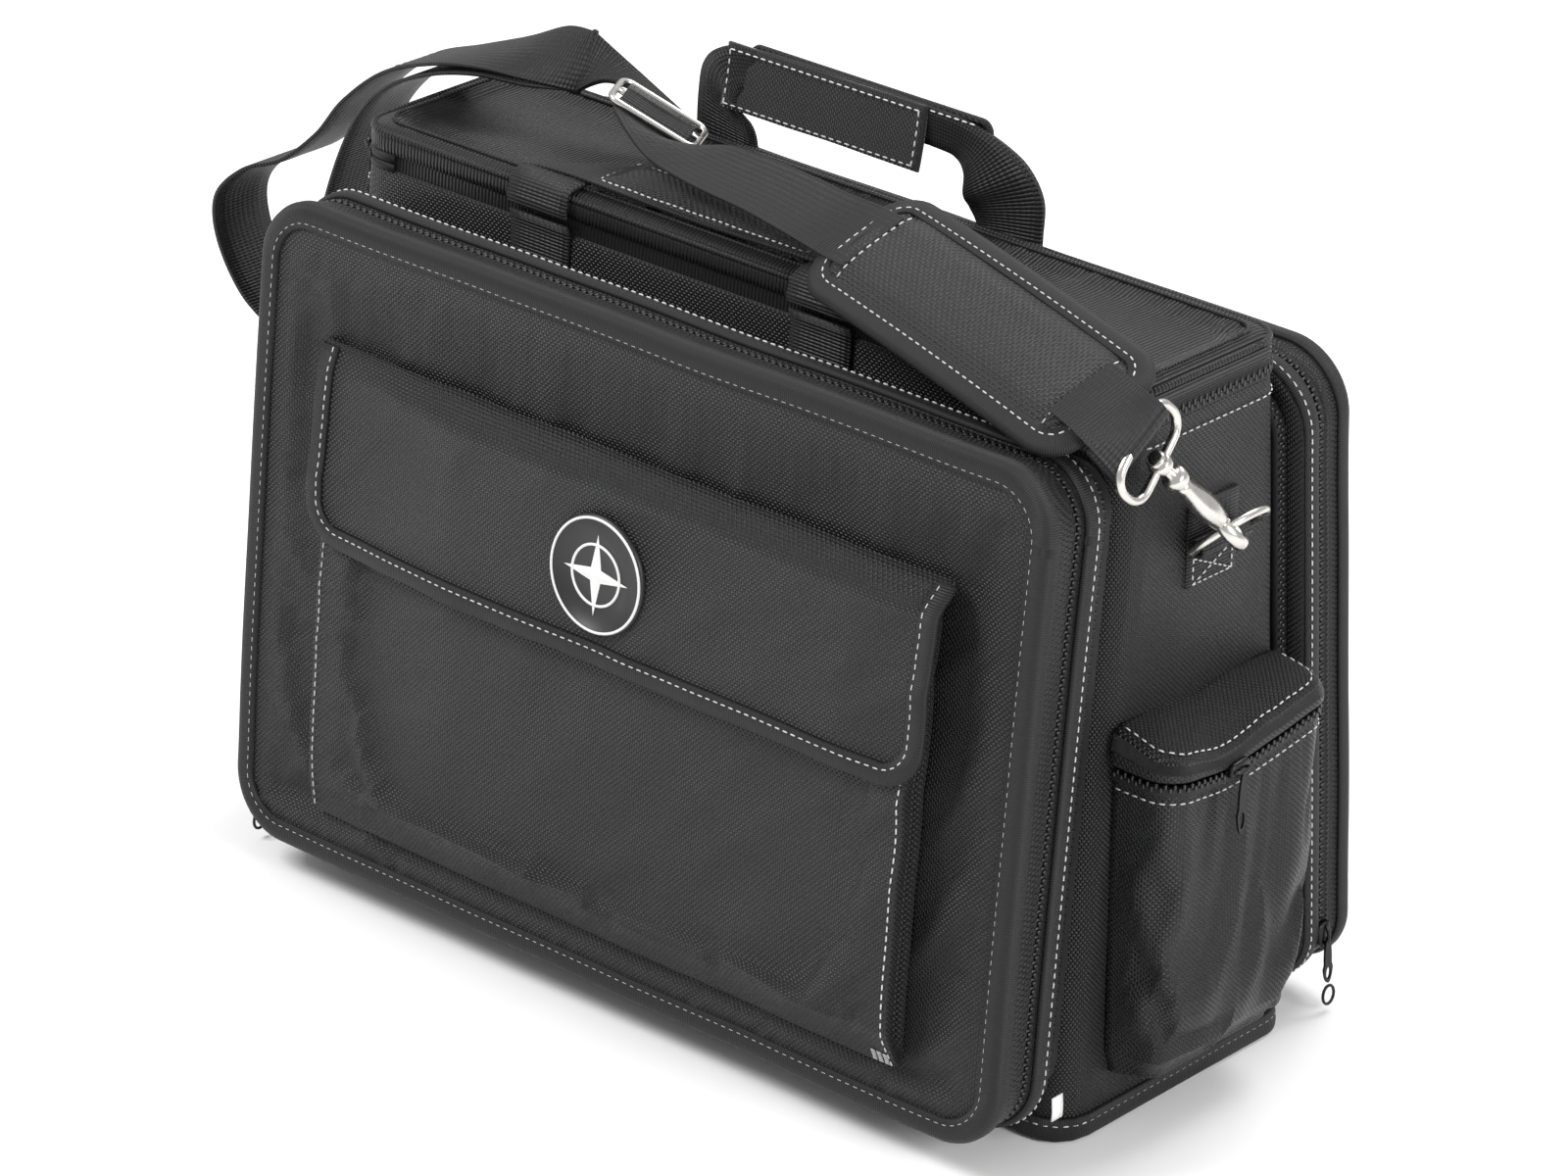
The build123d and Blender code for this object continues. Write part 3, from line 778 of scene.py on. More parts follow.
# ---------------------------------------------------------------- slip pockets inside the front case
def slip_pocket(name, left, right, low, high, w, replaces=()):
    def height(u, v):
        edge = min(u - left, right - u, v - low)
        return w + 1.6 * smoothstep(0, 12, edge) + 0.5 * wave(u, v, left, 40)
    a, b = (right - left) / 2, (high - low) / 2
    piece = cover(name, front, (a, b, 4), (left + a, low + b), height, [(0.2, w - 1.2)], LINING, "case",
                  thick=0.9, step=10, replaces=replaces)
    top = [(u, height(u, high) + 0.2, high - 3, (0, 1, 0)) for u in range(int(left) + 4, int(right) - 3, 6)]
    dashes(name + "_stitch", [line_normals(front, top)], "case")


slip_pocket("slip_wide", -200, 200, 40, 250, 21.4, replaces=["front_organiser"])
slip_pocket("slip_low", -190, 20, 45, 170, 23.4)
slip_pocket("slip_pens", 60, 180, 45, 150, 23.8)


# ---------------------------------------------------------------- bellows pocket and flap
POCKET_A, POCKET_LOW, POCKET_HIGH = 189, 40, 262
POCKET_B = (POCKET_HIGH - POCKET_LOW) / 2
POCKET_V = (POCKET_HIGH + POCKET_LOW) / 2


def pocket_height(u, v):
    rise = 3.5 + 9.0 * smoothstep(-188, -90, u)
    foot = smoothstep(POCKET_LOW - 4, POCKET_LOW + 22, v)
    belly = 1.8 * math.sin(math.pi * max(0, min(1, (v - POCKET_LOW) / 200)))
    folds = 1.3 * crease(u * 0.8, v * 1.3 + 60, 77.0) + 0.9 * wave(u, v, 5.5, 60)
    return front_face(u, v) + 1.5 + (rise - 2) * foot + belly * foot + folds * foot


def bellows(share, off):
    """A ring of the gusset, a share of the way up from the panel, folded in where it is deep."""
    def rule(u, v):
        low, high = front_face(u, v) - 0.3, pocket_height(u, v)
        deep = smoothstep(3, 11, high - low)
        return off * deep, low + (high - low) * share
    return rule


pocket = cover("bellows_pocket", front_at, (POCKET_A, POCKET_B, 5), (0, POCKET_V), pocket_height,
               [bellows(0.82, 0.3), bellows(0.5, -3.5), bellows(0.34, -6.5), bellows(0.15, -3),
                bellows(0.0, -0.2)],
               NYLON, "front_panel", thick=1.6, step=5, replaces=["front_pocket"])


def pocket_free(p):
    u, v = p.x, p.z
    near = min(POCKET_A - abs(u), v - POCKET_LOW, POCKET_HIGH - v)
    return smoothstep(6, 30, near) if p.y < -84 - 60 + v * 0.084 else 0.0


settle(pocket, pocket_free, frames=14, grow=0.02, gravity=0.5, cap=4.0)


def pocket_line(u_of, low, high):
    pts = []
    count = int((high - low) / 3)
    for k in range(count + 1):
        v = low + (high - low) * k / count
        u = u_of(v)
        pts.append((u, pocket_height(u, v) + 0.2, v, (0, 1, 0)))
    return line_normals(front_at, pts)


dashes("pocket_stitch", [pocket_line(lambda v: -186.5, POCKET_LOW + 2, 185),
                         pocket_line(lambda v: 186.0, POCKET_LOW + 1, 185)], "front_panel")
rows = []
for k in range(5):
    v = POCKET_LOW + 1.5 + k * 1.2
    tack = [(u, pocket_height(u, v) + 0.3, v, (0, 1, 0)) for u in range(176, 187)]
    rows.append(line_normals(front_at, tack))
dashes("pocket_tack", rows, "front_panel", gap=0.4)

FLAP_A, FLAP_LOW, FLAP_TOP = 196, 181, 279


def flap_w(u, v):
    """The flap leaves the panel at its fold, rounds over and hangs over the pocket."""
    down = FLAP_TOP - v
    start = front_face(u, FLAP_TOP) + 1.4
    lie = pocket_height(max(-POCKET_A + 3, min(POCKET_A - 3, u)), min(v, POCKET_HIGH)) + 2.6
    k = smoothstep(-2, 16, down)
    edge = smoothstep(60, 98, down)
    return start + (max(lie, start) - start) * k + 1.2 * edge * wave(u, 0, 8.2,
                                                                     70) + 0.6 * wave(u, v, 3.3, 45)


def flap_outline():
    """Open run down the left side, round the bottom corners and up the right side."""
    r = 22
    pts = [(-FLAP_A, FLAP_TOP - 2 - k * 4, -1, 0)
           for k in range(int((FLAP_TOP - 2 - FLAP_LOW - r) / 4) + 1)]
    for k in range(1, 10):
        t = math.radians(180 + 90 * k / 10)
        pts.append((-FLAP_A + r + r * math.cos(t), FLAP_LOW + r + r * math.sin(t), math.cos(t),
                    math.sin(t)))
    count = int((FLAP_A * 2 - 2 * r) / 4)
    pts += [(-FLAP_A + r + k * (FLAP_A * 2 - 2 * r) / count, FLAP_LOW, 0, -1) for k in range(count + 1)]
    for k in range(1, 10):
        t = math.radians(270 + 90 * k / 10)
        pts.append((FLAP_A - r + r * math.cos(t), FLAP_LOW + r + r * math.sin(t), math.cos(t), math.sin(t)))
    pts += [(FLAP_A, v, 1, 0) for v in [p[1] for p in pts if p[0] == -FLAP_A][::-1]]
    return pts


def flap_sheet():
    nx, ny, r = 78, 24, 22
    points, uv = [], []
    for j in range(ny + 1):
        v = FLAP_TOP - (FLAP_TOP - FLAP_LOW) * j / ny
        for i in range(nx + 1):
            x = -1 + 2 * i / nx
            low = max(0.0, (FLAP_LOW + r - v) / r)
            half = FLAP_A - r * (1 - math.sqrt(max(0.0, 1 - low * low)))
            u = x * half
            points.append(front_at(u, flap_w(u, v), v))
            uv.append((u, v))
    faces = strip_faces(ny + 1, nx + 1, flip=True)
    return points, faces, uv


points, faces, uv = flap_sheet()
flap = build("flap_cloth", points, faces, NYLON, "flap", uv, thick=2.0, replaces=["pocket_flap"])
edge = flap_outline()
profile = ((-9.0, 0.1), (-8.6, 0.9), (-4, 1.0), (0.2, 0.8), (1.3, -0.4), (0.6, -2.4), (-3, -2.8),
           (-8, -2.8))
points, uv = [], []
for off, lift in profile:
    for i, (u, v, nu, nv) in enumerate(edge):
        uu, vv = u + nu * off, v + nv * off
        points.append(front_at(uu, flap_w(uu, vv) + lift, vv))
        uv.append((i * 4, off))
build("flap_edge_tape", points, strip_faces(len(profile), len(edge)), TAPE, "flap", uv,
      thick=0.5, replaces=["flap_binding"])
line = [(u - nu * 6.3, flap_w(u - nu * 6.3, v - nv * 6.3) + 1.0, v - nv * 6.3, (0, 1, 0)) for u, v, nu,
        nv in edge]
dashes("flap_stitch", [line_normals(front_at, line)], "flap")
for name in ("flap_cloth", "flap_edge_tape", "flap_stitch"):
    cross_fold(bpy.data.objects[name], front(0, 57.4, FLAP_TOP))


# ---------------------------------------------------------------- badge
def badge():
    """A moulded disc with a pale ring and a plain four-pointed star inside a small ring."""
    centre_w = flap_w(0, 224) + 0.4
    middle = front_at(0, centre_w, 224)
    out = (front_at(0, centre_w + 1, 224) - middle).normalized()
    right = Vector((1, 0, 0))
    up = out.cross(right)

    def disc(name, profile, material, count=72):
        points = []
        for radius, lift in profile:
            for k in range(count):
                t = 2 * math.pi * k / count
                points.append(middle + right * (radius * math.cos(t)) + up * (radius * math.sin(t))
                              + out * lift)
        return build(name, points, strip_faces(len(profile), count, closed=True), material, "flap",
                     replaces=["badge"])
    disc("badge_body", [(29, 0), (29, 1.6), (28.4, 2.3), (26.6, 2.5), (26.4, 1.9), (8, 1.9), (0.05, 1.9)],
         RUBBER)
    disc("badge_ring", [(28.1, 2.2), (27.9, 2.9), (26.9, 2.9), (26.7, 2.2)], PALE)
    disc("badge_inner_ring", [(15.4, 1.8), (15.2, 2.4), (14.2, 2.4), (14.0, 1.8)], PALE)
    points = [middle + out * 2.7]
    for k in range(8):
        t = math.pi * k / 4 + math.pi / 2
        radius = 20 if k % 2 == 0 else 4.5
        points.append(middle + right * (radius * math.cos(t)) + up * (radius * math.sin(t)) + out * 2.0)
    faces = [(0, 1 + k, 1 + (k + 1) % 8) for k in range(8)]
    build("badge_star", points, faces, PALE, "flap", smooth=False)


badge()


# ---------------------------------------------------------------- main body
def fixed_loft(levels, segments=SEGMENTS, sag=0.0, seed=2.0):
    """Rings round the body at (grow, z), all of the same count; the end panels belly out by sag."""
    points, uv = [], []
    for grow, z in levels:
        half_x, half_y = BODY_W / 2 + grow, half_depth(z) + grow
        r = max(2.0, BODY_R + grow)
        for k in range(segments):
            side, t = divmod(k * 4 / segments, 1)
            side = int(side)
            long_side = side % 2 == 0
            run = 2 * ((half_x if long_side else half_y) - r)
            arc = r * math.pi / 2
            d = t * (run + arc)
            sx, sy = ((1, -1), (1, 1), (-1, 1), (-1, -1))[side]
            cx, cy = sx * (half_x - r), sy * (half_y - r)
            if d < run:
                q = run - d
                straights = ((cx - q, cy - r, 0, -1), (cx + r, cy - q, 1, 0),
                             (cx + q, cy + r, 0, 1), (cx - r, cy + q, -1, 0))
                x, y, nx, ny = straights[side]
            else:
                a = (d - run) / r + (-math.pi / 2 + side * math.pi / 2)
                nx, ny = math.cos(a), math.sin(a)
                x, y = cx + r * nx, cy + r * ny
            belly = (sag * math.exp(-(y / 38) ** 2) * abs(nx) ** 3
                     * math.sin(math.pi * max(0, min(1, z / 345))))
            ripple = 1.1 * wave(y * 1.3 + x, z, seed, 48) * smoothstep(12, 50, z) * smoothstep(346, 310, z)
            points.append(Vector((x + nx * (belly + ripple * abs(nx)), y + ny * ripple * 0.2, z)))
            uv.append((x + y, z))
    return points, strip_faces(len(levels), segments, closed=True), uv


levels = [(-3, 0.3), (-1.5, 0.5), (0, 3)] + [(0, z) for z in range(10, 341, 10)] + [(0, 344), (-0.8, 345)]
levels += [(-3.2, 345), (-4, 343)] + [(-4, z) for z in range(330, 9, -20)] + [(-6, 8), (-30, 8)]
points, faces, uv = fixed_loft(levels, sag=2.5)
body = build("body_cloth", points, faces, NYLON, "case", uv, replaces=["body_shell"])
body.data.materials.append(LINING)
lining_start = OUTSIDE_RINGS * SEGMENTS
for polygon in body.data.polygons:
    if min(polygon.vertices) >= lining_start:
        polygon.material_index = 1
points, faces, uv = fixed_loft([(-3, 0.3), (-20, 0.3), (-50, 0.35)])
points.append(Vector((0, 0, 0.4)))
uv.append((0, 0))
last_ring, middle = 2 * SEGMENTS, 3 * SEGMENTS
faces += [(last_ring + k, last_ring + (k + 1) % SEGMENTS, middle) for k in range(SEGMENTS)]
build("base_cloth", points, faces, NYLON, "case", uv)

points, faces, uv = fixed_loft([(0.3, 11.2), (1.3, 10.8), (2.0, 8), (2.1, 4), (1.8, 1.2), (0.2, 0.1),
                                (-3, 0.05)])
build("base_tape", points, faces, TAPE, "case", uv, thick=0.5, replaces=["base_binding"])


def body_line(grow, z, low=0, high=SEGMENTS):
    """A run of (point, outward) round part of the body, from segment low to segment high."""
    ring, _, _ = fixed_loft([(grow, z)], segments=FINE_SEGMENTS)
    line = []
    for k in range(low * 2, high * 2 + 1):
        p = ring[k % FINE_SEGMENTS]
        q = ring[(k + 1) % FINE_SEGMENTS]
        along = q - p
        if along.length < 1e-6:
            continue
        line.append((p, Vector((along.y, -along.x, 0)).normalized()))
    return line


dashes("base_stitch", [body_line(2.0, 8.2)], "case")
for name, low, high in (("right", 58, 122), ("left", 178, 242)):
    line = [(p, n) for p, n in body_line(0.5, 336, low, high) if abs(n.x) > 0.5]
    dashes("end_stitch_" + name, [line], "case")


def divider():
    points, uv = [], []
    nx, nz = 14, 30
    for j in range(nz + 1):
        z = 9 + 291 * j / nz
        half = half_depth(z) - 6
        for i in range(nx + 1):
            y = -half + 2 * half * i / nx
            points.append(Vector((57.2 + 0.8 * wave(y, z, 6.1, 50), y, z)))
            uv.append((y, z))
    pad = build("divider_pad", points, strip_faces(nz + 1, nx + 1, flip=True), LINING, "case", uv,
                thick=-5, replaces=["main_divider"])
    top = [(Vector((60, -54 + k * 3, 300)), Vector((0, 0, 1))) for k in range(37)]
    rows, faces, uv = ribbon_points([(60, -52, 300), (60, 0, 300.4), (60, 52, 300)],
                                       [(1, 0, 0)] * 3, 8, 1.6, 20)
    build("divider_tape", rows, faces, TAPE, "case", uv)
    dashes("divider_stitch", [[(p + Vector((0, 0, 1)), n) for p, n in top]], "case")


divider()

label_points = [Vector((243.4 + 0.3 * math.sin(k), -95 + j * 7.5, 20 + k * 3)) for k in range(5)
                for j in range(2)]
build("label_tab", label_points, strip_faces(5, 2), LABEL, "case",
      [(p.y, p.z) for p in label_points], thick=0.5, replaces=["care_label"])

# ---------------------------------------------------------------- lid, its zip and its fold
LID_A, LID_R = 240, 18
LID_B = half_depth(SEAM_Z)


def lid_top(x, y):
    d = edge_distance(x, y, LID_A, LID_B, LID_R)
    crown = max(0.0, (1 - (x / LID_A) ** 4) * (1 - (y / LID_B) ** 2))
    sag = 1.4 * wave(x, y, 31.0, 95) + 0.5 * wave(x, y, 12.0, 30)
    return 365.2 - 3.2 * math.exp(-d / 3.5) + 1.2 * crown + sag * smoothstep(3, 25, d)


lid = cover("lid_cloth", lambda x, h, y: Vector((x, y, h)), (LID_A, LID_B, LID_R), (0, 0), lid_top,
            [(0.6, 359.5), (0.9, 356), (0.6, 353)], RIBBED, "lid", thick=3.0, step=5,
            replaces=["lid_panel"])
settle(lid, lambda p: smoothstep(6, 20, edge_distance(p.x, p.y, LID_A, LID_B, LID_R)) if p.z > 361 else 0.0,
       frames=12, grow=0.015, gravity=0.6, cap=3.0)


def cord_ring(name, a, b, r, height, radius, material, body_name, replaces=()):
    ring = outline(a, b, r, (0, 0), 4)
    points, uv = [], []
    for k in range(8):
        t = 2 * math.pi * k / 8
        for x, y, nx, ny, s in ring:
            off = radius * math.cos(t)
            points.append(Vector((x + nx * off, y + ny * off, height(x, y) + radius * math.sin(t))))
            uv.append((s, k))
    count = len(ring)
    faces = strip_faces(8, count, closed=True)
    faces += [(7 * count + j, 7 * count + (j + 1) % count, (j + 1) % count, j) for j in range(count)]
    return build(name, points, faces, material, body_name, uv, replaces=replaces)


cord_ring("lid_edge_piping", LID_A - 0.5, LID_B - 0.5, 18, lambda x, y: 362.2, 1.7, RIBBED, "lid",
          replaces=["lid_piping"])
cord_ring("lid_seam", LID_A - 9, LID_B - 9, 12, lambda x, y: lid_top(x, y) + 0.1, 1.0, RIBBED, "lid")


def zip_band(name, levels, body_name, replaces):
    """Zip tape round the back and both ends."""
    points, faces, uv = fixed_loft(levels)
    keep = []
    for f in faces:
        if min(points[i].y for i in f) > -half_depth(349) + 3 or min(abs(points[i].x) for i in f) > 214:
            keep.append(f)
    used = sorted({i for f in keep for i in f})
    order = {i: k for k, i in enumerate(used)}
    return build(name, [points[i] for i in used], [tuple(order[i] for i in f) for f in keep], ZIP_TAPE,
                 body_name, [uv[i] for i in used], thick=0.9, replaces=replaces)


zip_band("lid_tape_low", [(-0.6, 344), (0.4, 344.6), (0.5, 346.5), (0.3, 348.3)], "case", ["lid_zip_lower"])
zip_band("lid_tape_high", [(0.3, 349.0), (0.5, 350.5), (0.5, 352.6), (-0.4, 353.4)], "lid",
         ["lid_zip_upper"])
ring, _, _ = fixed_loft([(0.2, 348.6)], segments=FINE_SEGMENTS)
line = []
for k in range(100, 500):
    p, q = ring[k % FINE_SEGMENTS], ring[(k + 1) % FINE_SEGMENTS]
    if (q - p).length > 1e-6 and p.y > -half_depth(349) + 3:
        along = (q - p).normalized()
        line.append((p, Vector((along.y, -along.x, 0)), Vector((0, 0, 1))))
teeth("lid_coil", line, "case")

points, uv = [], []
for j in range(9):
    z = 342.5 + 12.5 * j / 8
    for i in range(61):
        x = -220 + 440 * i / 60
        points.append(Vector((x, -half_depth(z) + 0.9 - 0.3 * wave(x, z, 9.0, 30), z)))
        uv.append((x, z))
fold = build("lid_fold", points, strip_faces(9, 61), RIBBED, "case", uv)
cross_fold(fold, (0, -54.5, 346))


# ---------------------------------------------------------------- end pouches
def pouch(sign, side):
    """A sagging pouch on an end panel, its lid, zip and stitches."""
    def around(out, half, r, count=48):
        """Open run from the wall round the pouch and back to the wall."""
        pts = []
        run = out - r
        total = 2 * run + 2 * (half - r) + math.pi * r
        for k in range(count + 1):
            d = total * k / count
            if d < run:
                x, y, nx, ny = d, -half, 0, -1
            elif d < run + math.pi * r / 2:
                t = (d - run) / r
                x, y, nx, ny = run + r * math.sin(t), -half + r - r * math.cos(t), math.sin(t), -math.cos(t)
            elif d < run + math.pi * r / 2 + 2 * (half - r):
                x, y, nx, ny = out, -half + r + (d - run - math.pi * r / 2), 1, 0
            elif d < total - run:
                t = (d - run - math.pi * r / 2 - 2 * (half - r)) / r
                x, y, nx, ny = run + r * math.cos(t), half - r + r * math.sin(t), math.cos(t), math.sin(t)
            else:
                x, y, nx, ny = total - d, half, 0, 1
            pts.append((x, y, nx, ny, d))
        return pts

    def place(x, y, z):
        return Vector((sign * (240.3 + x), sign * y, z))
    deep = 33.5

    def wall(x, y, nx, ny, z, grow=0.0):
        low = smoothstep(28, 75, z)
        folds = 4.6 * wave(y * 1.5 + x, z * 0.5, 14.0 + sign, 26) * smoothstep(185, 120, z) * low
        taper = 5 * (1 - smoothstep(30, 150, z)) * (1.0 if y > 0 else 0.6)
        lift = grow + (folds - 5 * (1 - low) ** 1.6) * smoothstep(0, 14, x)
        rise = 4.5 * math.exp(-((y - 50) / 24) ** 2) - 3.5 * math.exp(-((y + 18) / 24) ** 2)
        rise *= smoothstep(120, 184, z) * smoothstep(0, 10, x)
        return place(x + nx * (lift - taper * 0.6), y * (1 - taper / 58) + ny * lift * 0.9, z + rise)

    zs = [28, 30, 34, 40, 48] + list(range(58, 179, 8)) + [182, 183.6]
    points, uv = [], []
    for z in zs:
        shrink = 6 * (1 - smoothstep(28, 42, z))
        for x, y, nx, ny, d in around(deep - shrink, 57.5 - shrink * 0.6, 15):
            points.append(wall(x, y, nx, ny, z))
            uv.append((d, z))
    faces = strip_faces(len(zs), 49)
    first = len(points)
    for x, y, nx, ny, d in around(16, 38, 8):
        points.append(place(x, y, 27.6))
        uv.append((d, 0))
    faces += [(k, first + k, first + k + 1, k + 1) for k in range(48)]
    faces.append(tuple(range(first, first + 49)))
    pocket_piece = build("pouch_" + side, points, faces, NYLON, "case", uv, thick=1.8,
                         replaces=["end_pocket_" + side])
    settle(pocket_piece, lambda p: smoothstep(8, 22, abs(p.x) - 240.3) * smoothstep(184, 165, p.z)
           * smoothstep(28, 50, p.z),
           frames=12, grow=0.03, gravity=0.6, cap=4.0)

    line = []
    for x, y, nx, ny, d in around(deep, 57.5, 15, 90):
        if x > 1:
            line.append((wall(x, y, nx, ny, 176, 0.9), Vector((sign * nx, sign * ny, 0))))
    dashes("pouch_stitch_" + side, [line], "case")

    points, uv = [], []
    for z, off in ((179, 0.2), (179.6, 1.0), (183.2, 1.0), (184.2, 0.4)):
        for x, y, nx, ny, d in around(deep, 57.5, 15, 60):
            points.append(wall(x, y, nx, ny, z, off))
            uv.append((d, z))
    build("pouch_tape_low_" + side, points, strip_faces(4, 61), ZIP_TAPE, "case", uv, thick=0.6)
    line = []
    for x, y, nx, ny, d in around(deep, 57.5, 15, 110):
        if x > 1:
            line.append((wall(x, y, nx, ny, 184, 1.2), Vector((sign * nx, sign * ny, 0)),
                         Vector((0, 0, 1))))
    teeth("pouch_coil_" + side, line, "case", width=4.2)

    def top(x, y):
        """The lid's top, falling from the wall to its front edge and sagging between."""
        t = max(0.0, min(1.0, x / deep))
        sag = 4.5 * math.exp(-((y - 50) / 24) ** 2) - 5.5 * math.exp(-((y + 18) / 22) ** 2)
        ripple = 1.6 * wave(x * 1.5, y, 21.0 + sign, 16) * smoothstep(0, 8, x)
        return 206 - 9.5 * t ** 1.2 + sag * t + ripple * smoothstep(58, 48,
                                                                    abs(y)) - 1.5 * smoothstep(50, 58, abs(y))

    lid_body = "end_lid_" + side
    points, uv = [], []
    for share in (0.2, 0.45, 0.7, 0.88, 0.97, 1.0):
        for x, y, nx, ny, d in around(deep + 1, 58.6, 15, 60):
            px, py = x * share, y * (0.15 + 0.85 * share)
            points.append(place(px, py, top(px, py) - (1.6 if share == 1.0 else 0)))
            uv.append((py, px))
    for off, share in ((0.3, 0.5), (0.2, 0.12), (-0.6, 0.0)):
        for x, y, nx, ny, d in around(deep + 1, 58.6, 15, 60):
            foot = wall(x, y, nx, ny, 184, 1.2)
            high = top(x, y) - 1.6
            points.append(Vector((foot.x + sign * nx * off, foot.y + sign * ny * off,
                                  foot.z + 2.8 + (high - foot.z - 2.8) * share)))
            uv.append((d, 190 + 10 * share))
    faces = strip_faces(9, 61)
    start = len(points)
    points.append(place(0, 0, 206))
    uv.append((0, 0))
    faces += [(k + 1, k, start) for k in range(60)]
    lid_piece = build("pouch_lid_" + side, points, faces, NYLON, lid_body, uv, thick=1.4,
                      replaces=["end_pocket_lid_" + side], outward=True)
    line = []
    for x, y, nx, ny, d in around(deep - 3, 54.5, 13, 100):
        if x > 2:
            line.append((place(x, y, top(x, y) + 0.7), Vector((0, 0, 1))))
    dashes("pouch_lid_stitch_" + side, [line], lid_body)


pouch(1, "right")
pouch(-1, "left")


# ---------------------------------------------------------------- handles
def box_stitch(name, centre, right, up, out, half_x, half_y, body_name):
    """A sewn box with a cross in it."""
    centre, right, up, out = (Vector(v) for v in (centre, right, up, out))
    corners = [centre + right * (a * half_x) + up * (b * half_y) + out * 0.3
               for a, b in ((-1, -1), (1, -1), (1, 1), (-1, 1))]
    lines = []
    for i, j in ((0, 1), (1, 2), (2, 3), (3, 0), (0, 2), (1, 3)):
        a, b = corners[i], corners[j]
        count = max(3, int((b - a).length / 3))
        lines.append([(a.lerp(b, k / count), out) for k in range(count + 1)])
    dashes(name, lines, body_name, length=2.8, gap=1.2)


first = True
for centre, place_at, top, tag in ((-28, front, 343, "front"), (16, rear, 338, "rear")):
    for side in (-1, 1):
        u = centre + side * 88
        a = place_at(u, 1.2, 62)
        b = place_at(u, 1.2, 200)
        c = place_at(u, 1.2, top - 8)
        d = Vector((a.x, -58.2, 349.8)) if tag == "front" else Vector((a.x, 60.2, 346.9))
        ribbon("band_%s_%s" % (tag, "left" if side < 0 else "right"), [a, b, c, d], [(1, 0, 0)] * 4, "case",
               replaces=["handle_bands"] if first else (), count=50, thick=1.6)
        first = False

# front handle, folded down on the lid: each leg turns over the edge and folds into the bight
near = [(-135, -58.8, 353.8), (-135.3, -58.9, 359), (-135.5, -54.6, 366.4), (-135, -47, 368),
        (-112, -45.6, 369.6),
        (-80, -45.4, 369.4), (-28, -45.6, 368.6), (24, -45.4, 369.4), (56, -45.6, 369.6), (79, -47, 368),
        (79.5, -54.6, 366.4), (79.3, -58.9, 359), (79, -58.8, 353.8)]
far = [(-97, -58.8, 353.8), (-97, -58.9, 359), (-97.5, -52, 367.2), (-97, -11, 368), (-88, -8.4, 369.8),
       (-76, -8.2, 369.6), (-28, -8.2, 368.8), (20, -8.2, 369.6), (32, -8.4, 369.8), (41, -11, 368),
       (41.5, -52, 367.2), (41, -58.9, 359), (41, -58.8, 353.8)]
strip("front_handle_web", near, far, "front_handle", replaces=["front_handle"], count=150)


def grip(name, centre, along, across, out, length, width, body_name, replaces):
    """A padded sleeve with bound edges and a dashed line set in all round."""
    centre, along, across, out = (Vector(v) for v in (centre, along, across, out))

    def at(x, h, y):
        return centre + along * x + across * y + out * h

    def height(x, y):
        d = edge_distance(x, y, length / 2, width / 2, 6)
        return 0.6 + 1.4 * smoothstep(0, 9, d) + 0.4 * wave(x, y, length, 20)
    piece = cover(name, at, (length / 2, width / 2, 6), (0, 0), height,
                  [(0.4, 0.2), (0.2, -1.2), (-2, -1.8)],
                  PADDING, body_name, thick=1.0, step=5, replaces=replaces)
    line = []
    for x, y, nx, ny, s in outline(length / 2 - 3.5, width / 2 - 3.5, 4, (0, 0), 3):
        line.append((at(x, height(x, y) + 0.3, y), out))
    dashes(name + "_stitch", [line + line[:1]], body_name, length=2.8, gap=1.3)


grip("front_grip", (-28, -27, 369), (1, 0, 0), (0, 1, 0), (0, 0, 1), 138, 35, "front_handle",
     ["front_handle_grip"])

# rear handle, standing: flat legs that gather into a narrow, doubled bar
outer = [(-123, 60.2, 346.8), (-123.5, 60.6, 362), (-123, 61, 380), (-119, 60, 396), (-108, 58, 406.5),
         (-92, 58.6, 410.6), (-60, 59.8, 411.4), (-16, 60.2, 411.6), (28, 60.2, 411), (46, 60, 409.6),
         (66, 59.4, 405.5), (82, 60.2, 397), (91, 61.6, 382), (91.5, 61, 364), (91, 60.2, 346.8)]
inner = [(-85, 60.2, 346.8), (-85, 60.6, 360), (-86, 58, 371), (-91, 53.5, 380), (-92, 54.5, 388),
         (-84, 57.6, 390.6), (-58, 60.6, 391.6), (-16, 60.8, 392), (28, 60.8, 391.2), (40, 60.2, 389.6),
         (49, 54.5, 386), (51, 51.5, 377), (51, 56.5, 370), (53, 60.6, 360), (53, 60.2, 346.8)]
strip("rear_handle_web", outer, inner, "rear_handle", replaces=["rear_handle"], count=150, thick=2.6)
grip("rear_grip", (-16, 62.4, 401.5), (-1, 0, 0), (0, 0, 1), (0, 1, 0), 150, 21, "rear_handle",
     ["rear_handle_grip"])
line = [(Vector((24 + k * 3, 58.4, 409.5)), Vector((0, -1, 0))) for k in range(11)]
dashes("rear_grip_front_stitch", [line], "rear_handle")

points, uv = [], []
for j in range(13):
    t = j / 12
    z = 411 - 31 * t
    for i in range(43):
        x = -102 + 124 * i / 42
        y = 57.9 - 5.5 * t ** 1.5 - 0.7 * wave(x, z, 50, 30)
        points.append(Vector((x, y, z + 0.8 * wave(x, 0, 51, 60) * t)))
        uv.append((x, z))
wrap = build("wrap_pad", points, strip_faces(13, 43), PILE, "wrap", uv, thick=-1.8,
             replaces=["handle_wrap"])
lines = []
for z_at in (0.08, 0.92):
    lines.append([(Vector((-99 + 118 * i / 40, 57.0 - 5.5 * z_at ** 1.5 - 0.9, 411 - 31 * z_at)),
                   Vector((0, -1, 0.2)))
                  for i in range(41)])
for x in (-99, 19):
    lines.append([(Vector((x, 57.0 - 5.5 * t ** 1.5 - 0.9, 411 - 31 * t)), Vector((0, -1, 0.2)))
                  for t in [0.08 + 0.84 * k / 10 for k in range(11)]])
dashes("wrap_stitch", lines, "wrap")


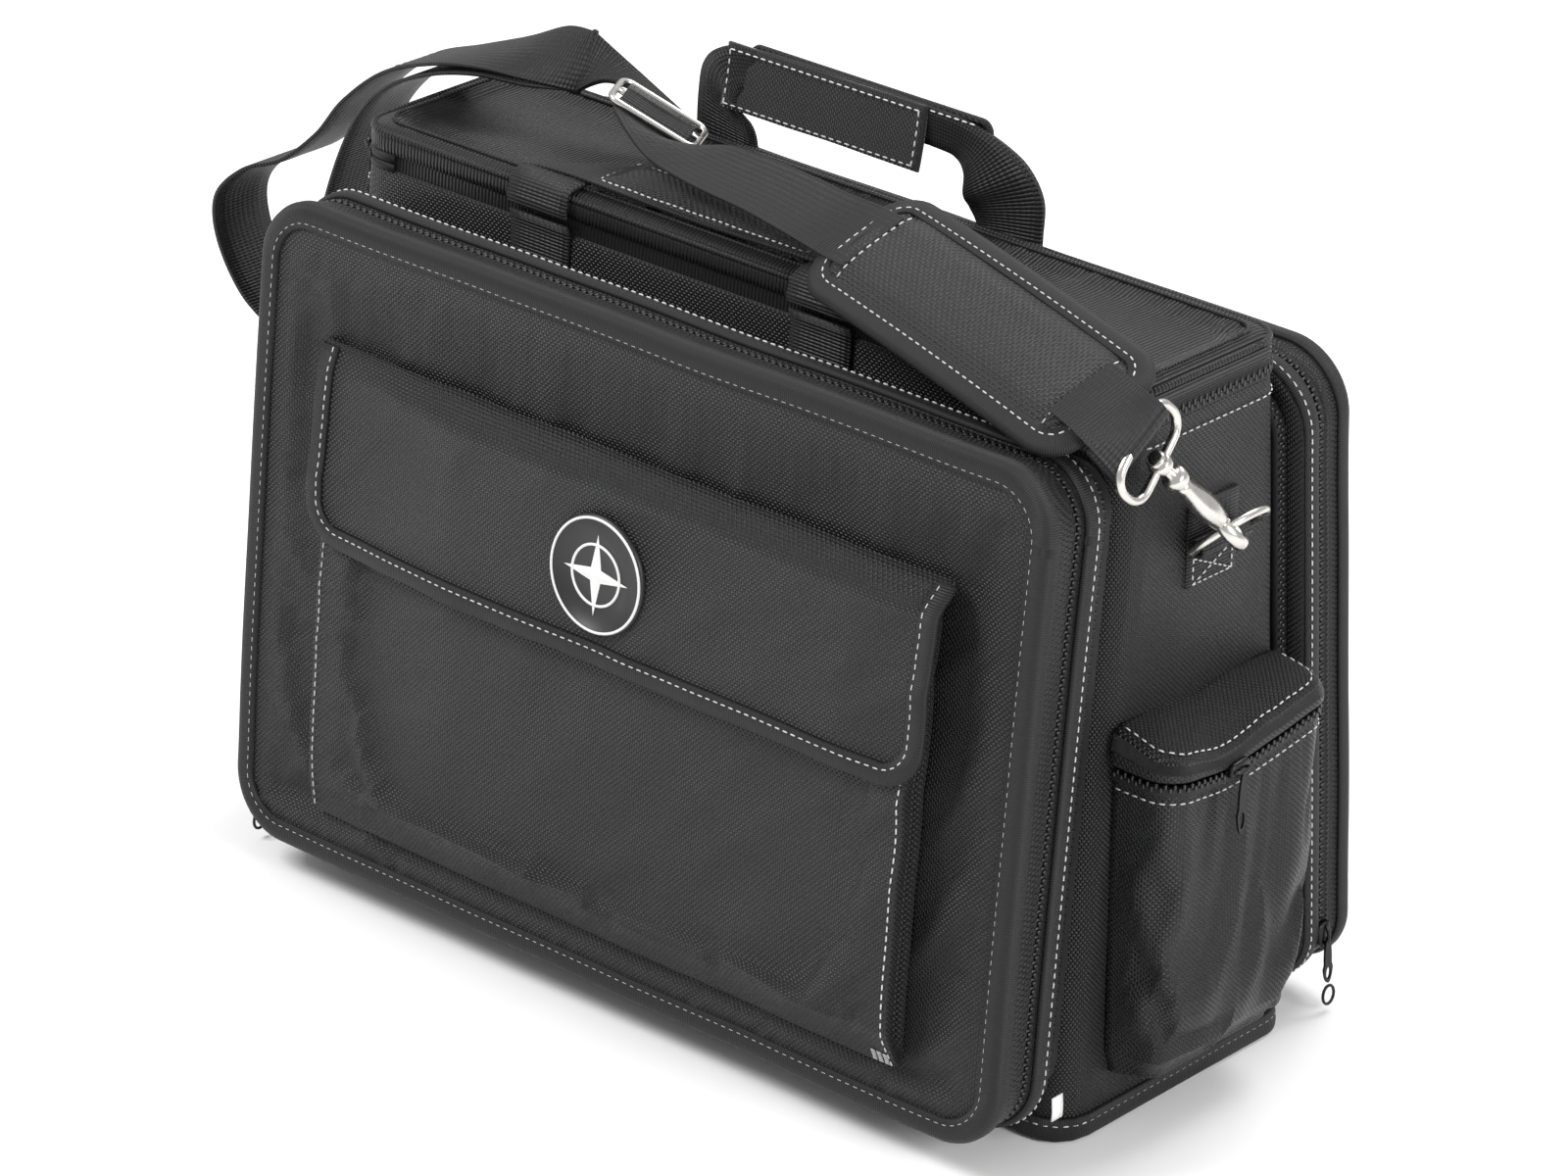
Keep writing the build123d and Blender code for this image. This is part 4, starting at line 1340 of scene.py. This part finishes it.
# ---------------------------------------------------------------- D-ring tabs
def ring_tab(sign, side, replaces):
    x = sign * 241.4
    ribbon("tab_plate_" + side, [(x, 4, 259), (x, 4, 280), (x, 4, 299)], [(0, sign, 0)] * 3, "case",
           replaces=replaces, width=36, count=14, thick=2.0)
    loop = []
    for k in range(13):
        t = math.radians(200 - 330 * k / 12)
        loop.append((sign * (246.8 + 3.6 * math.cos(t)), 4, 280 + 3.6 * math.sin(t)))
    ribbon("tab_loop_" + side, loop, [(0, sign, 0)] * 13, "case", width=35.5, count=40, thick=1.7)
    box_stitch("tab_stitch_" + side, (sign * 242.4, 4, 266.5), (0, sign, 0), (0, 0, 1), (sign, 0, 0), 14,
               6.5, "case")


ring_tab(1, "right", ["dring_tabs"])
ring_tab(-1, "left", ())


# ---------------------------------------------------------------- metalwork
def tube(name, centres, radius, material, body_name, closed=False, replaces=(), flat=1.0,
         normal=None,
         sides=12):
    """A bent rod through the given points; flat squeezes it along normal."""
    pts = [Vector(p) for p in centres]
    count = len(pts)
    points = []
    for i, p in enumerate(pts):
        before = pts[i - 1] if closed or i else pts[0]
        after = pts[(i + 1) % count] if closed or i < count - 1 else pts[-1]
        along = (after - before).normalized()
        up = Vector(normal) if normal else Vector((0, 0, 1))
        up = (up - along * up.dot(along)).normalized()
        side = along.cross(up)
        r = radius(i / (count - 1)) if callable(radius) else radius
        for k in range(sides):
            t = 2 * math.pi * k / sides
            points.append(p + side * (r * math.cos(t)) + up * (r * flat * math.sin(t)))
    faces = strip_faces(count, sides, closed=True)
    if closed:
        faces += [((count - 1) * sides + k, (count - 1) * sides + (k + 1) % sides, (k + 1) % sides, k)
                  for k in range(sides)]
    else:
        faces.append(tuple(range(sides - 1, -1, -1)))
        faces.append(tuple((count - 1) * sides + k for k in range(sides)))
    return build(name, points, faces, material, body_name, replaces=replaces)


def lathe(name, base, axis, side, profile, material, body_name, count=28, replaces=()):
    """A turned shape: profile is (distance along axis, radius)."""
    base, axis, side = Vector(base), Vector(axis).normalized(), Vector(side)
    side = (side - axis * side.dot(axis)).normalized()
    other = axis.cross(side)
    points = []
    for d, r in profile:
        for k in range(count):
            t = 2 * math.pi * k / count
            points.append(base + axis * d + side * (r * math.cos(t)) + other * (r * math.sin(t)))
    build(name, points, capped(len(profile), count), material, body_name, replaces=replaces)


def hook(side, eye, run, eye_axis, body_name, gate_body, loop_body, loop_axis):
    """Swivel snap hook: a claw eye, a broad shank, a swivel stud and a wire webbing loop."""
    eye, run = Vector(eye), Vector(run).normalized()
    axis = Vector(eye_axis)
    axis = (axis - run * axis.dot(run)).normalized()
    wide = run.cross(axis)

    def local(y, z, x=0.0):
        return eye + wide * y + run * z + axis * x
    claw = []
    for k in range(29):
        t = math.radians(-28 - 297 * k / 28)
        r = 9.2
        claw.append(local(r * math.cos(t), r * math.sin(t) * 1.04))
    tube("hook_claw_" + side, claw,
         lambda t: 2.7 - 0.7 * (1 - smoothstep(0, 0.15, t)) + 0.3 * math.sin(math.pi * t), NICKEL,
         body_name, replaces=["hook_" + side], flat=1.25, normal=axis, sides=16)
    shank = []
    for k in range(11):
        z = 8 + 38 * k / 10
        shank.append(local(0, z))
    tube("hook_shank_" + side, shank, lambda t: 6.0 + 3.2 * math.exp(-((t - 0.35) / 0.3) ** 2), NICKEL,
         body_name, flat=0.68, normal=axis, sides=24)
    lathe("hook_collar_" + side, local(0, 44.5), run, axis,
          [(0, 4.0), (0.4, 5.4), (1.5, 6), (5, 6), (6.2, 5.6), (7, 4.6), (7.4, 2.6), (16.6, 2.4),
           (17.0, 2.4),
           (20.2, 2.4), (20.4, 4.2), (21.2, 4.6), (22.2, 4.4), (22.8, 3.2), (23.0, 0.1)], NICKEL, body_name)
    gate = [local(9.2, 2.6 - 7.4 * k / 8) for k in range(9)]
    tube("hook_lever_" + side, gate, 1.6, NICKEL, gate_body, replaces=["hook_gate_" + side],
         flat=1.4, normal=axis)
    far = Vector(loop_axis)
    far = (far - run * far.dot(run)).normalized()
    ring = []
    for x, y, nx, ny, s in outline(22.5, 11.0, 9.5, (0, 0), 3):
        ring.append(eye + run * (72.5 + y) + far * x)
    tube("hook_wire_" + side, ring, 2.3, NICKEL, loop_body, closed=True,
         replaces=["hook_loop_" + side], normal=run.cross(far), sides=14)
    lathe("hook_boss_" + side, eye + run * 58.6, run, axis,
          [(0, 3.6), (0.3, 5.0), (1.2, 5.5), (4.6, 5.5), (5.5, 5.0), (5.8, 3.6)], NICKEL, loop_body)


right_eye, right_bar_hint = Vector((260.6, -10, 294)), Vector((253, -72, 355))
right_run = (right_bar_hint - right_eye).normalized()
pad_across = Vector((0.03, -0.905, -0.425))
left_run = Vector((-0.8, 0, -0.6))
left_eye = Vector((-258.05, 4, 257.75))
hook("right", right_eye, right_run, (0.467, 0.745, 0.476), "right_hook", "right_gate", "strap", pad_across)
hook("left", left_eye, left_run, (0, 1, 0), "left_hook", "left_gate", "left_loop", (0, 1, 0))
right_bar = right_eye + right_run * 83.5
left_bar = left_eye + left_run * 83.5

for node in ("dring_right", "dring_left", "base_board"):
    piece = frame["nodes"][node]
    piece.data.materials.clear()
    piece.data.materials.append(RUBBER if node == "base_board" else NICKEL)
    for polygon in piece.data.polygons:
        polygon.use_smooth = node.startswith("dring")


def zip_slider(name, at, along, out, body_name, pull_body, pull_to, slider_node, pull_node=None):
    """A lacquered slider with a bridge, and a pull plate with a hole."""
    at, along, out = Vector(at), Vector(along).normalized(), Vector(out).normalized()
    side = along.cross(out)
    points = []
    shape = ((-6.5, 2.4), (-4, 3.6), (0, 4.0), (4, 4.4), (6, 3.6), (6.6, 2.2))
    layers = ((0, 0.75), (0.3, 1), (2.6, 1), (3.2, 0.8))
    for low, grow in layers:
        ring = list(shape) + [(x, -w) for x, w in reversed(shape)]
        for x, w in ring:
            points.append(at + along * (x * (0.97 if grow < 1 else 1)) + side * (w * grow) + out * low)
    build(name + "_body", points, capped(len(layers), 2 * len(shape)), LACQUER, body_name,
          replaces=[slider_node])
    bridge = [at + along * (5 * math.cos(t)) + out * (3 + 2.2 * math.sin(t))
              for t in [math.pi * k / 10 for k in range(11)]]
    tube(name + "_bridge", bridge, 0.9, LACQUER, body_name, normal=side, sides=8)
    run = Vector(pull_to)
    length = run.length
    run.normalize()
    wide = run.cross(out).normalized()
    start = at + out * 4.6
    n = 32
    outer, inner = [], []
    for k in range(n):
        t = 2 * math.pi * k / n
        cx, cy = math.cos(t), math.sin(t)
        outer.append((length / 2 * (1 + cx * 0.98), 3.2 * cy * (1.15 if cx > 0.2 else 0.8)))
        inner.append((length * 0.78 + length * 0.13 * cx, 1.7 * cy))
    points = []
    thin = run.cross(wide)
    for ring in (outer, inner):
        for h in (-0.55, 0.55):
            for x, y in ring:
                points.append(start + run * x + wide * y + thin * h)
    faces = []
    for k in range(n):
        m = (k + 1) % n
        faces.append((k, m, n + m, n + k))
        faces.append((2 * n + m, 2 * n + k, 3 * n + k, 3 * n + m))
        faces.append((m, k, 2 * n + k, 2 * n + m))
        faces.append((n + k, n + m, 3 * n + m, 3 * n + k))
    build(name + "_plate", points, faces, LACQUER, pull_body,
          replaces=[pull_node] if pull_node else (), smooth=False)


for name, at, depth in (("front", front, FRONT), ("rear", rear, REAR)):
    spot = at(-242.2, depth["mid"], 39)
    side_x = -1 if spot.x < 0 else 1
    up = at(-242.2, depth["mid"], 40) - spot
    zip_slider(name + "_zip", spot, up, (side_x, 0, 0), name + "_slider", name + "_pull",
               -up.normalized() * 26,
               name + "_slider", name + "_pull")
    ring_middle = spot - up.normalized() * 32.5 + Vector((side_x * 4.8, 0, 0))
    ring = [ring_middle + up.normalized() * (5 * math.cos(t)) + Vector((0.2 * side_x, 4.2 * math.sin(t), 0))
            for t in [2 * math.pi * k / 20 for k in range(20)]]
    tube(name + "_pull_ring", ring, 0.75, LACQUER, name + "_pull", closed=True,
         normal=(1, 0, 0), sides=8)
zip_slider("lid_zip", (-241.2, -38, 348.6), (0, 1, 0), (-1, 0, 0), "lid_slider", "lid_pull", (0, 0, -38),
           "lid_slider", "lid_pull")
for sign, side in ((1, "right"), (-1, "left")):
    zip_slider("pouch_zip_" + side, (sign * 275.6, -14 * sign, 182), (0, 1, 0), (sign, 0, 0),
               "end_slider_" + side,
               "end_slider_" + side, (0, 0, -32), "end_pocket_slider_" + side)


# ---------------------------------------------------------------- shoulder strap
PAD_CENTRE = Vector((147, -51.6, 372.4))
PAD_RUN = Vector((187, -36, -25)).normalized()
PAD_ACROSS = (pad_across - PAD_RUN * pad_across.dot(PAD_RUN)).normalized()
PAD_OUT = PAD_ACROSS.cross(PAD_RUN)
if PAD_OUT.z < 0:
    PAD_OUT = -PAD_OUT
PAD_A, PAD_B, PAD_R = 93.5, 34, 19


def pad_at(x, h, y):
    """The pad's frame, bent a little over the lid."""
    bend = -3.2 * (x / PAD_A) ** 2 - 2.6 * smoothstep(0, 34, y) + 1.4
    return PAD_CENTRE + PAD_RUN * x + PAD_ACROSS * y + PAD_OUT * (h + bend)


def pad_height(x, y):
    d = edge_distance(x, y, PAD_A, PAD_B, PAD_R)
    channel = math.exp(-((abs(x) - 74) / 3) ** 2) * 1.4
    return 1.6 + 4.2 * smoothstep(4, 18, d) - channel * smoothstep(4, 10, d) + 0.5 * wave(x, y, 71, 24)


pad = cover("shoulder_pad_top", pad_at, (PAD_A, PAD_B, PAD_R), (0, 0), pad_height,
            [(0.2, 0), (0, -1.6), (-4, -3.2), (-16, -4.0), (-33.5, -4.0)], PADDING, "strap",
            thick=0.8,
            step=4, replaces=["shoulder_pad"], flip=True)
lines = [(-9.6, 2.8), (-9.2, 3.5), (-5, 2.9), (-1, 2.0), (1.2, 0.6), (1.5, -0.8), (0.6, -2.2), (-4, -3.6),
         (-8, -4.0)]
ring = outline(PAD_A, PAD_B, PAD_R, (0, 0), 4)
points, uv = [], []
for off, h in lines:
    for x, y, nx, ny, s in ring:
        points.append(pad_at(x + nx * off, h, y + ny * off))
        uv.append((s, off))
build("pad_edge_tape", points, strip_faces(len(lines), len(ring), closed=True, flip=True), TAPE, "strap",
      uv, thick=0.5)
stitch_lines = [[(pad_at(x - nx * 6.4, 3.5, y - ny * 6.4), PAD_OUT) for x, y, nx, ny, s in ring + ring[:1]]]
for x in (-74, 74):
    stitch_lines.append([(pad_at(x, pad_height(x, y) + 0.4, y), PAD_OUT) for y in range(-27, 28, 3)])
dashes("pad_stitch", stitch_lines, "strap")

ADJUSTER_AT = Vector((-99, 6, 389))
ADJUSTER_ALONG = Vector((0.79, 0.41, -0.46)).normalized()
ADJUSTER_ACROSS = Vector((-0.47, 0.88, 0.03))
adj_across = (ADJUSTER_ACROSS - ADJUSTER_ALONG * ADJUSTER_ACROSS.dot(ADJUSTER_ALONG)).normalized()
ADJUSTER_UP = ADJUSTER_ALONG.cross(adj_across)


def adjuster_at(along, across, up=0.0):
    return ADJUSTER_AT + ADJUSTER_ALONG * along + adj_across * across + ADJUSTER_UP * up


frame_line = [adjuster_at(x, y) for x, y, nx, ny, s in outline(23.2, 12.2, 5, (0, 0), 3)]
tube("adjuster_frame", frame_line, 1.75, NICKEL, "strap", closed=True,
     replaces=["strap_adjuster"],
     normal=ADJUSTER_UP, sides=14)
tube("adjuster_bar", [adjuster_at(-23.2 + 46.4 * k / 8, 0) for k in range(9)], 1.6, NICKEL, "strap",
     normal=ADJUSTER_UP, sides=14)

W = WEBBING / 2 - 0.4
left_edge = [adjuster_at(-W, 0, 2.6), adjuster_at(-W, -7, 1.0), adjuster_at(-W, -15, -2.4), (-74, -32, 386),
             (-40, -40, 383.5),
             (0, -45, 382.5), (34, -50.5, 380.5), pad_at(-PAD_A + 1, 3.4, W), pad_at(-PAD_A + 19, 5.4, W)]
right_edge = [adjuster_at(W, 0, 2.6), adjuster_at(W, -7, 1.0), adjuster_at(W, -15, -2.4), (-48, -2, 388.5),
              (-22, -5, 391),
              (10, -11, 393), (40, -17, 393.5), pad_at(-PAD_A + 1, 3.4, -W), pad_at(-PAD_A + 19, 5.4, -W)]
strip("strap_front", left_edge, right_edge, "strap", replaces=["strap_webbing"], count=120, dish=0.8)

wire_across = (PAD_ACROSS - right_run * PAD_ACROSS.dot(right_run)).normalized()
away = (right_bar - pad_at(PAD_A, 0, 0)).normalized()
path_in = [(pad_at(PAD_A - 19, 5.6, 0), PAD_ACROSS), (pad_at(PAD_A - 10, 5.0, 0), PAD_ACROSS),
           (pad_at(PAD_A, 3.2, 0), PAD_ACROSS), (right_bar + PAD_OUT * 3.4, wire_across),
           (right_bar + away * 3.4, wire_across), (right_bar - PAD_OUT * 3.4, wire_across),
           (pad_at(PAD_A - 1, -3.6, 0), PAD_ACROSS), (pad_at(PAD_A - 8, -4.4, 0), PAD_ACROSS)]
strip("pad_end_web", [p + q * W for p, q in path_in], [p - q * W for p, q in path_in], "strap", count=70)

# the doubled webbing: up from the hanging hook over the lid's end, a fold at the peak, down to the adjuster
x, z = left_bar.x, left_bar.z
route_in = [((x + 3.4, 4, z + 2), 0), ((x + 5, 4, z + 14), 0), ((-312, 4, 262), 0), ((-301, 4, 300), 0),
            ((-288, 4, 331), 0),
            ((-274, 4, 352), 0), ((-255, 4, 368), 0), ((-228, 5, 380), 0), ((-203, 9, 388), 10),
            ((-180, 15, 392.5), 30)]
route_out = [((x - 1, 4, z - 4.5), 0), ((x - 7, 2, z + 4), 0), ((-352, -6, 232), 0), ((-361, -14, 262), 0),
             ((-361, -15, 286), 0),
             ((-347, -10, 302), 0), ((-328, -2, 310), 0), ((-308, 3, 328), 0), ((-290, 4, 350), 0),
             ((-262, 4, 372), 0),
             ((-230, 5, 384.5), 0), ((-203, 9, 391.6), 10), ((-181, 15, 395.6), 30)]


def edges(route):
    near_side, far_side = [], []
    for p, turn in route:
        across = Vector((0, math.cos(math.radians(turn)), math.sin(math.radians(turn))))
        near_side.append(Vector(p) - across * W)
        far_side.append(Vector(p) + across * W)
    return near_side, far_side


peak_low, peak_high = Vector((-159, 13, 382)), Vector((-160, 28, 408.5))
low_end, high_end = adjuster_at(-W, 14, -2.2), adjuster_at(W, 14, -2.2)
for name, route, lift, nodes in (("strap_back_inner", route_in, 0.0, ["strap_tail"]),
                                 ("strap_back_outer", route_out, 2.6, ())):
    low_edge, high_edge = edges(route)
    shift = Vector((0.3, -0.8, 0.5)) * lift
    low_edge += [peak_low + shift * 0.6, peak_low + shift * 0.6 + Vector((0.5, 0, 0)),
                 peak_low.lerp(low_end, 0.5) + Vector((0, 0, 4)) + shift, low_end + shift * 0.5,
                 adjuster_at(-W, 6, 1.0) + shift * 0.3, adjuster_at(-W, 0, 2.4) + shift * 0.3]
    high_edge += [peak_high + shift * 0.2, peak_high + shift * 0.2 + Vector((0.5, 0, -0.2)),
                  peak_high.lerp(high_end, 0.5) + shift, high_end + shift * 0.5,
                  adjuster_at(W, 6, 1.0) + shift * 0.3, adjuster_at(W, 0, 2.4) + shift * 0.3]
    strip(name, low_edge, high_edge, "strap", replaces=nodes, count=170)
tack = [(Vector((-257 + 0.2 * k, -11 + 3 * k, 376)), Vector((-0.5, 0, 0.85))) for k in range(11)]
dashes("strap_tack", [tack], "strap")
turn = [left_bar + Vector((4.5 * math.sin(t), 0, -4.5 * math.cos(t)))
        for t in [math.radians(-150 + 25 * k) for k in range(13)]]
ribbon("strap_left_bar_turn", turn, [(0, 1, 0)] * 13, "strap", width=36.5, count=40, thick=1.7)

# ---------------------------------------------------------------- floor, light and camera
floor_mesh = bpy.data.meshes.new("floor")
FLOOR_HALF, FLOOR_Z = 12, -0.0008
floor_mesh.from_pydata([(x * FLOOR_HALF, y * FLOOR_HALF, FLOOR_Z) for x,
                        y in ((-1, -1), (1, -1), (1, 1), (-1, 1))],
                       [], [(0, 1, 2, 3)])
floor = bpy.data.objects.new("floor", floor_mesh)
bpy.context.scene.collection.objects.link(floor)
floor_material, _, floor_shader = new_material("pale_floor")
floor_shader.inputs["Base Color"].default_value = (0.86, 0.86, 0.86, 1)
floor_shader.inputs["Roughness"].default_value = 0.9
floor_mesh.materials.append(floor_material)
floor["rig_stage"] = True

world = bpy.data.worlds.new("studio")
bpy.context.scene.world = world
world.use_nodes = True
world.node_tree.nodes["Background"].inputs["Color"].default_value = (1, 1, 1, 1)
world.node_tree.nodes["Background"].inputs["Strength"].default_value = 0.68
bpy.context.scene.view_settings.view_transform = "Standard"


def area_light(name, place, aim, size, power):
    data = bpy.data.lights.new(name, "AREA")
    data.shape = "SQUARE"
    data.size = size
    data.energy = power
    lamp = bpy.data.objects.new(name, data)
    bpy.context.scene.collection.objects.link(lamp)
    lamp.location = place
    lamp.rotation_mode = "QUATERNION"
    lamp.rotation_quaternion = (Vector(aim) - Vector(place)).to_track_quat("-Z", "Y")


area_light("key", (-1.4, -1.6, 2.6), (0, 0, 0.2), 1.2, 85)
area_light("side", (2.6, -0.2, 1.3), (0, 0, 0.2), 1.0, 50)
area_light("top", (0.2, 1.4, 2.4), (0, 0, 0.3), 1.3, 42)

CAMERA_AT = (1.872, -2.148, 1.499)
camera_data = bpy.data.cameras.new("camera")
camera_data.lens = 151.7
camera_data.sensor_width = 36
camera = bpy.data.objects.new("camera", camera_data)
bpy.context.scene.collection.objects.link(camera)
turn, drop, roll = math.radians(41.2), math.radians(24.9), math.radians(1.31)
forward = Vector((-math.sin(turn) * math.cos(drop), math.cos(turn) * math.cos(drop), -math.sin(drop)))
level = forward.cross(Vector((0, 0, 1))).normalized()
upright = level.cross(forward)
right = level * math.cos(roll) + upright * math.sin(roll)
up = upright * math.cos(roll) - level * math.sin(roll)
camera.matrix_world = Matrix((
    (right.x, up.x, -forward.x, CAMERA_AT[0]),
    (right.y, up.y, -forward.y, CAMERA_AT[1]),
    (right.z, up.z, -forward.z, CAMERA_AT[2]),
    (0, 0, 0, 1)))
bpy.context.scene.camera = camera

low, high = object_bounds()
{"cad": [list(cad_low), list(cad_high)], "visual": [list(low), list(high)]}
